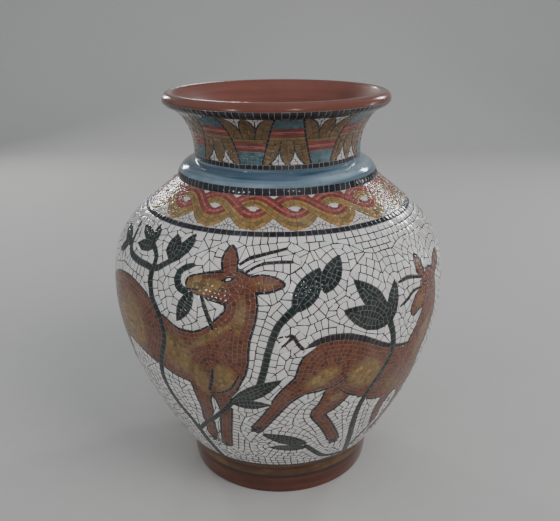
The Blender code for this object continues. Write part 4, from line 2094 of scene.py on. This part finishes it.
@dataclass
class Vase:
    """The whole vase in its glazes.

    Heights are where its zones begin and end. Each row of black tesserae has so many
    round the vase. Lifts and clearances are in millimetres, overlaps in metres.
    """

    outline: Outline = field(default_factory=Outline)
    segments: int = 192
    lip_low: float = 0.2942
    neck_top: float = 0.2888
    neck_low: float = 0.2565
    collar_top: float = 0.2531
    collar_low: float = 0.2437
    field_top: float = 0.2184
    plait_low: float = 0.2208
    field_low: float = 0.0328
    band_low: float = 0.0142
    drawing_zero: float = 0.0285
    sunk: float = -0.25
    tucked: float = -0.7
    clearance: float = 0.2
    overlap: float = 0.0004
    lip_tuck: float = 0.0009
    lip_row: int = 112
    lip_row_steps: int = 6
    neck_row: int = 92
    collar_row: int = 102
    shoulder_row: int = 134
    field_splits: tuple[float, ...] = (78.0, 150.0)
    setting_seed: int = 5
    making_seed: int = 11

    def __post_init__(self) -> None:
        """Measure the skin, and make ready to turn strips of it."""
        self.skin = Skin(self.outline, self.drawing_zero)
        self.turner = Turner(self.segments)
        self.plait_top = self.outline.shoulder_top[1]

    def stretch(self, low: float, high: float, lift: float, tuck: bool) -> list[Point]:
        """Return the outline between two heights of the outside.

        Args:
            low: The lower height.
            high: The upper height.
            lift: How far it stands off the skin, in millimetres.
            tuck: Whether its two edges turn in under the tesserae.

        Returns:
            Radius and height of each point.
        """
        skin = self.skin
        first, last = skin.y_at(low), skin.y_at(high)
        inner = skin.rise[(skin.rise > first + self.clearance) & (skin.rise < last - self.clearance)]
        ys = np.concatenate([[first], inner, [last]])
        lifts = np.full(len(ys), lift)
        if tuck:
            ys = np.concatenate([[first], ys, [last]])
            lifts = np.concatenate([[self.tucked], lifts, [self.tucked]])
        places = skin.place(np.zeros(len(ys)), ys, lifts)
        return [(-float(y), float(z)) for _, y, z in places]

    def plain_zones(self) -> None:
        """Turn the zones of plain glaze and the ground under the tesserae."""
        skin, outline, overlap = self.skin, self.outline, self.overlap
        edges = {Glaze.BRUSHED: (self.band_low, self.field_low)}
        glazes = {glaze: glaze.value.material(edges.get(glaze, ())) for glaze in Glaze}
        over = skin.height[:skin.top].searchsorted(self.lip_low)
        lip = list(zip(skin.radius[over:].tolist(), skin.height[over:].tolist()))
        lip.insert(0, (lip[0][0] - self.lip_tuck, lip[0][1]))
        interior = lip[-1:] + outline.inside() + [(0.0, outline.floor)]
        collar = self.stretch(self.collar_low, self.collar_top, 0.0, True)
        band = self.stretch(self.band_low, self.field_low, 0.0, True)
        foot = [(0.0, 0.0)] + self.stretch(0.0, self.band_low, 0.0, False)
        neck_ground = self.stretch(self.collar_top - overlap, self.lip_low + overlap, self.sunk, False)
        shoulder_ground = self.stretch(self.field_top, self.collar_low + overlap, self.sunk, False)
        field_ground = self.stretch(self.field_low - overlap, self.field_top, self.sunk, False)
        for name, points, glaze, slot in (
                ("lip", lip, Glaze.TERRACOTTA, "terracotta_glaze"),
                ("interior", interior, Glaze.INNER, "terracotta_glaze"),
                ("blue_collar", collar, Glaze.BLUE, "blue_glaze"),
                ("painted_band", band, Glaze.BRUSHED, "painted_glaze"),
                # The foot takes the darker glaze, which paints the shade under the belly.
                ("foot", foot, Glaze.FOOT, "terracotta_glaze"),
                ("neck_ground", neck_ground, Glaze.JOINT, "painted_glaze"),
                ("shoulder_ground", shoulder_ground, Glaze.JOINT, "painted_glaze"),
                ("field_ground", field_ground, Glaze.JOINT, "painted_glaze")):
            self.turner.strip(name, points, glazes[glaze], slot)

    def tesserae(self) -> None:
        """Set and make all tesserae."""
        glaze = TesseraFinish().material()
        skin = self.skin
        maker = TesseraMaker(skin, np.random.default_rng(self.making_seed))
        chance = np.random.default_rng(self.setting_seed)
        neck = LotusBand(skin, self.neck_low, self.neck_top).tiling(chance)
        BlackRow(skin, self.neck_top, self.lip_low, self.lip_row, self.lip_row_steps).lay(neck, chance)
        BlackRow(skin, self.collar_top, self.neck_low, self.neck_row).lay(neck, chance)
        maker.build("neck_tesserae", neck, glaze, "painted_glaze")
        plait = Guilloche(skin, self.plait_low, self.plait_top).tiling(chance)
        BlackRow(skin, self.plait_top, self.collar_low, self.collar_row).lay(plait, chance)
        BlackRow(skin, self.field_top, self.plait_low, self.shoulder_row).lay(plait, chance)
        maker.build("shoulder_tesserae", plait, glaze, "painted_glaze")
        whole = Field(skin, self.field_low, self.field_top).tiling(chance)
        parts = [Tiling() for _ in range(len(self.field_splits) + 1)]
        for corners, kind, tones in zip(whole.corners, whole.kinds, whole.tones):
            middle = sum(y for _, y in corners) / len(corners)
            parts[sum(middle > split for split in self.field_splits)].add(corners, kind, tones)
        for place, part in zip(("lower", "middle", "upper"), parts):
            maker.build(f"{place}_field_tesserae", part, glaze, "pale_glaze")


def main() -> None:
    """Build the vase and its studio."""
    logging.basicConfig(level=logging.INFO, format="%(name)s: %(message)s")
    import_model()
    vase = Vase()
    vase.plain_zones()
    vase.tesserae()
    Studio().build()


if __name__ == "__main__":
    main()
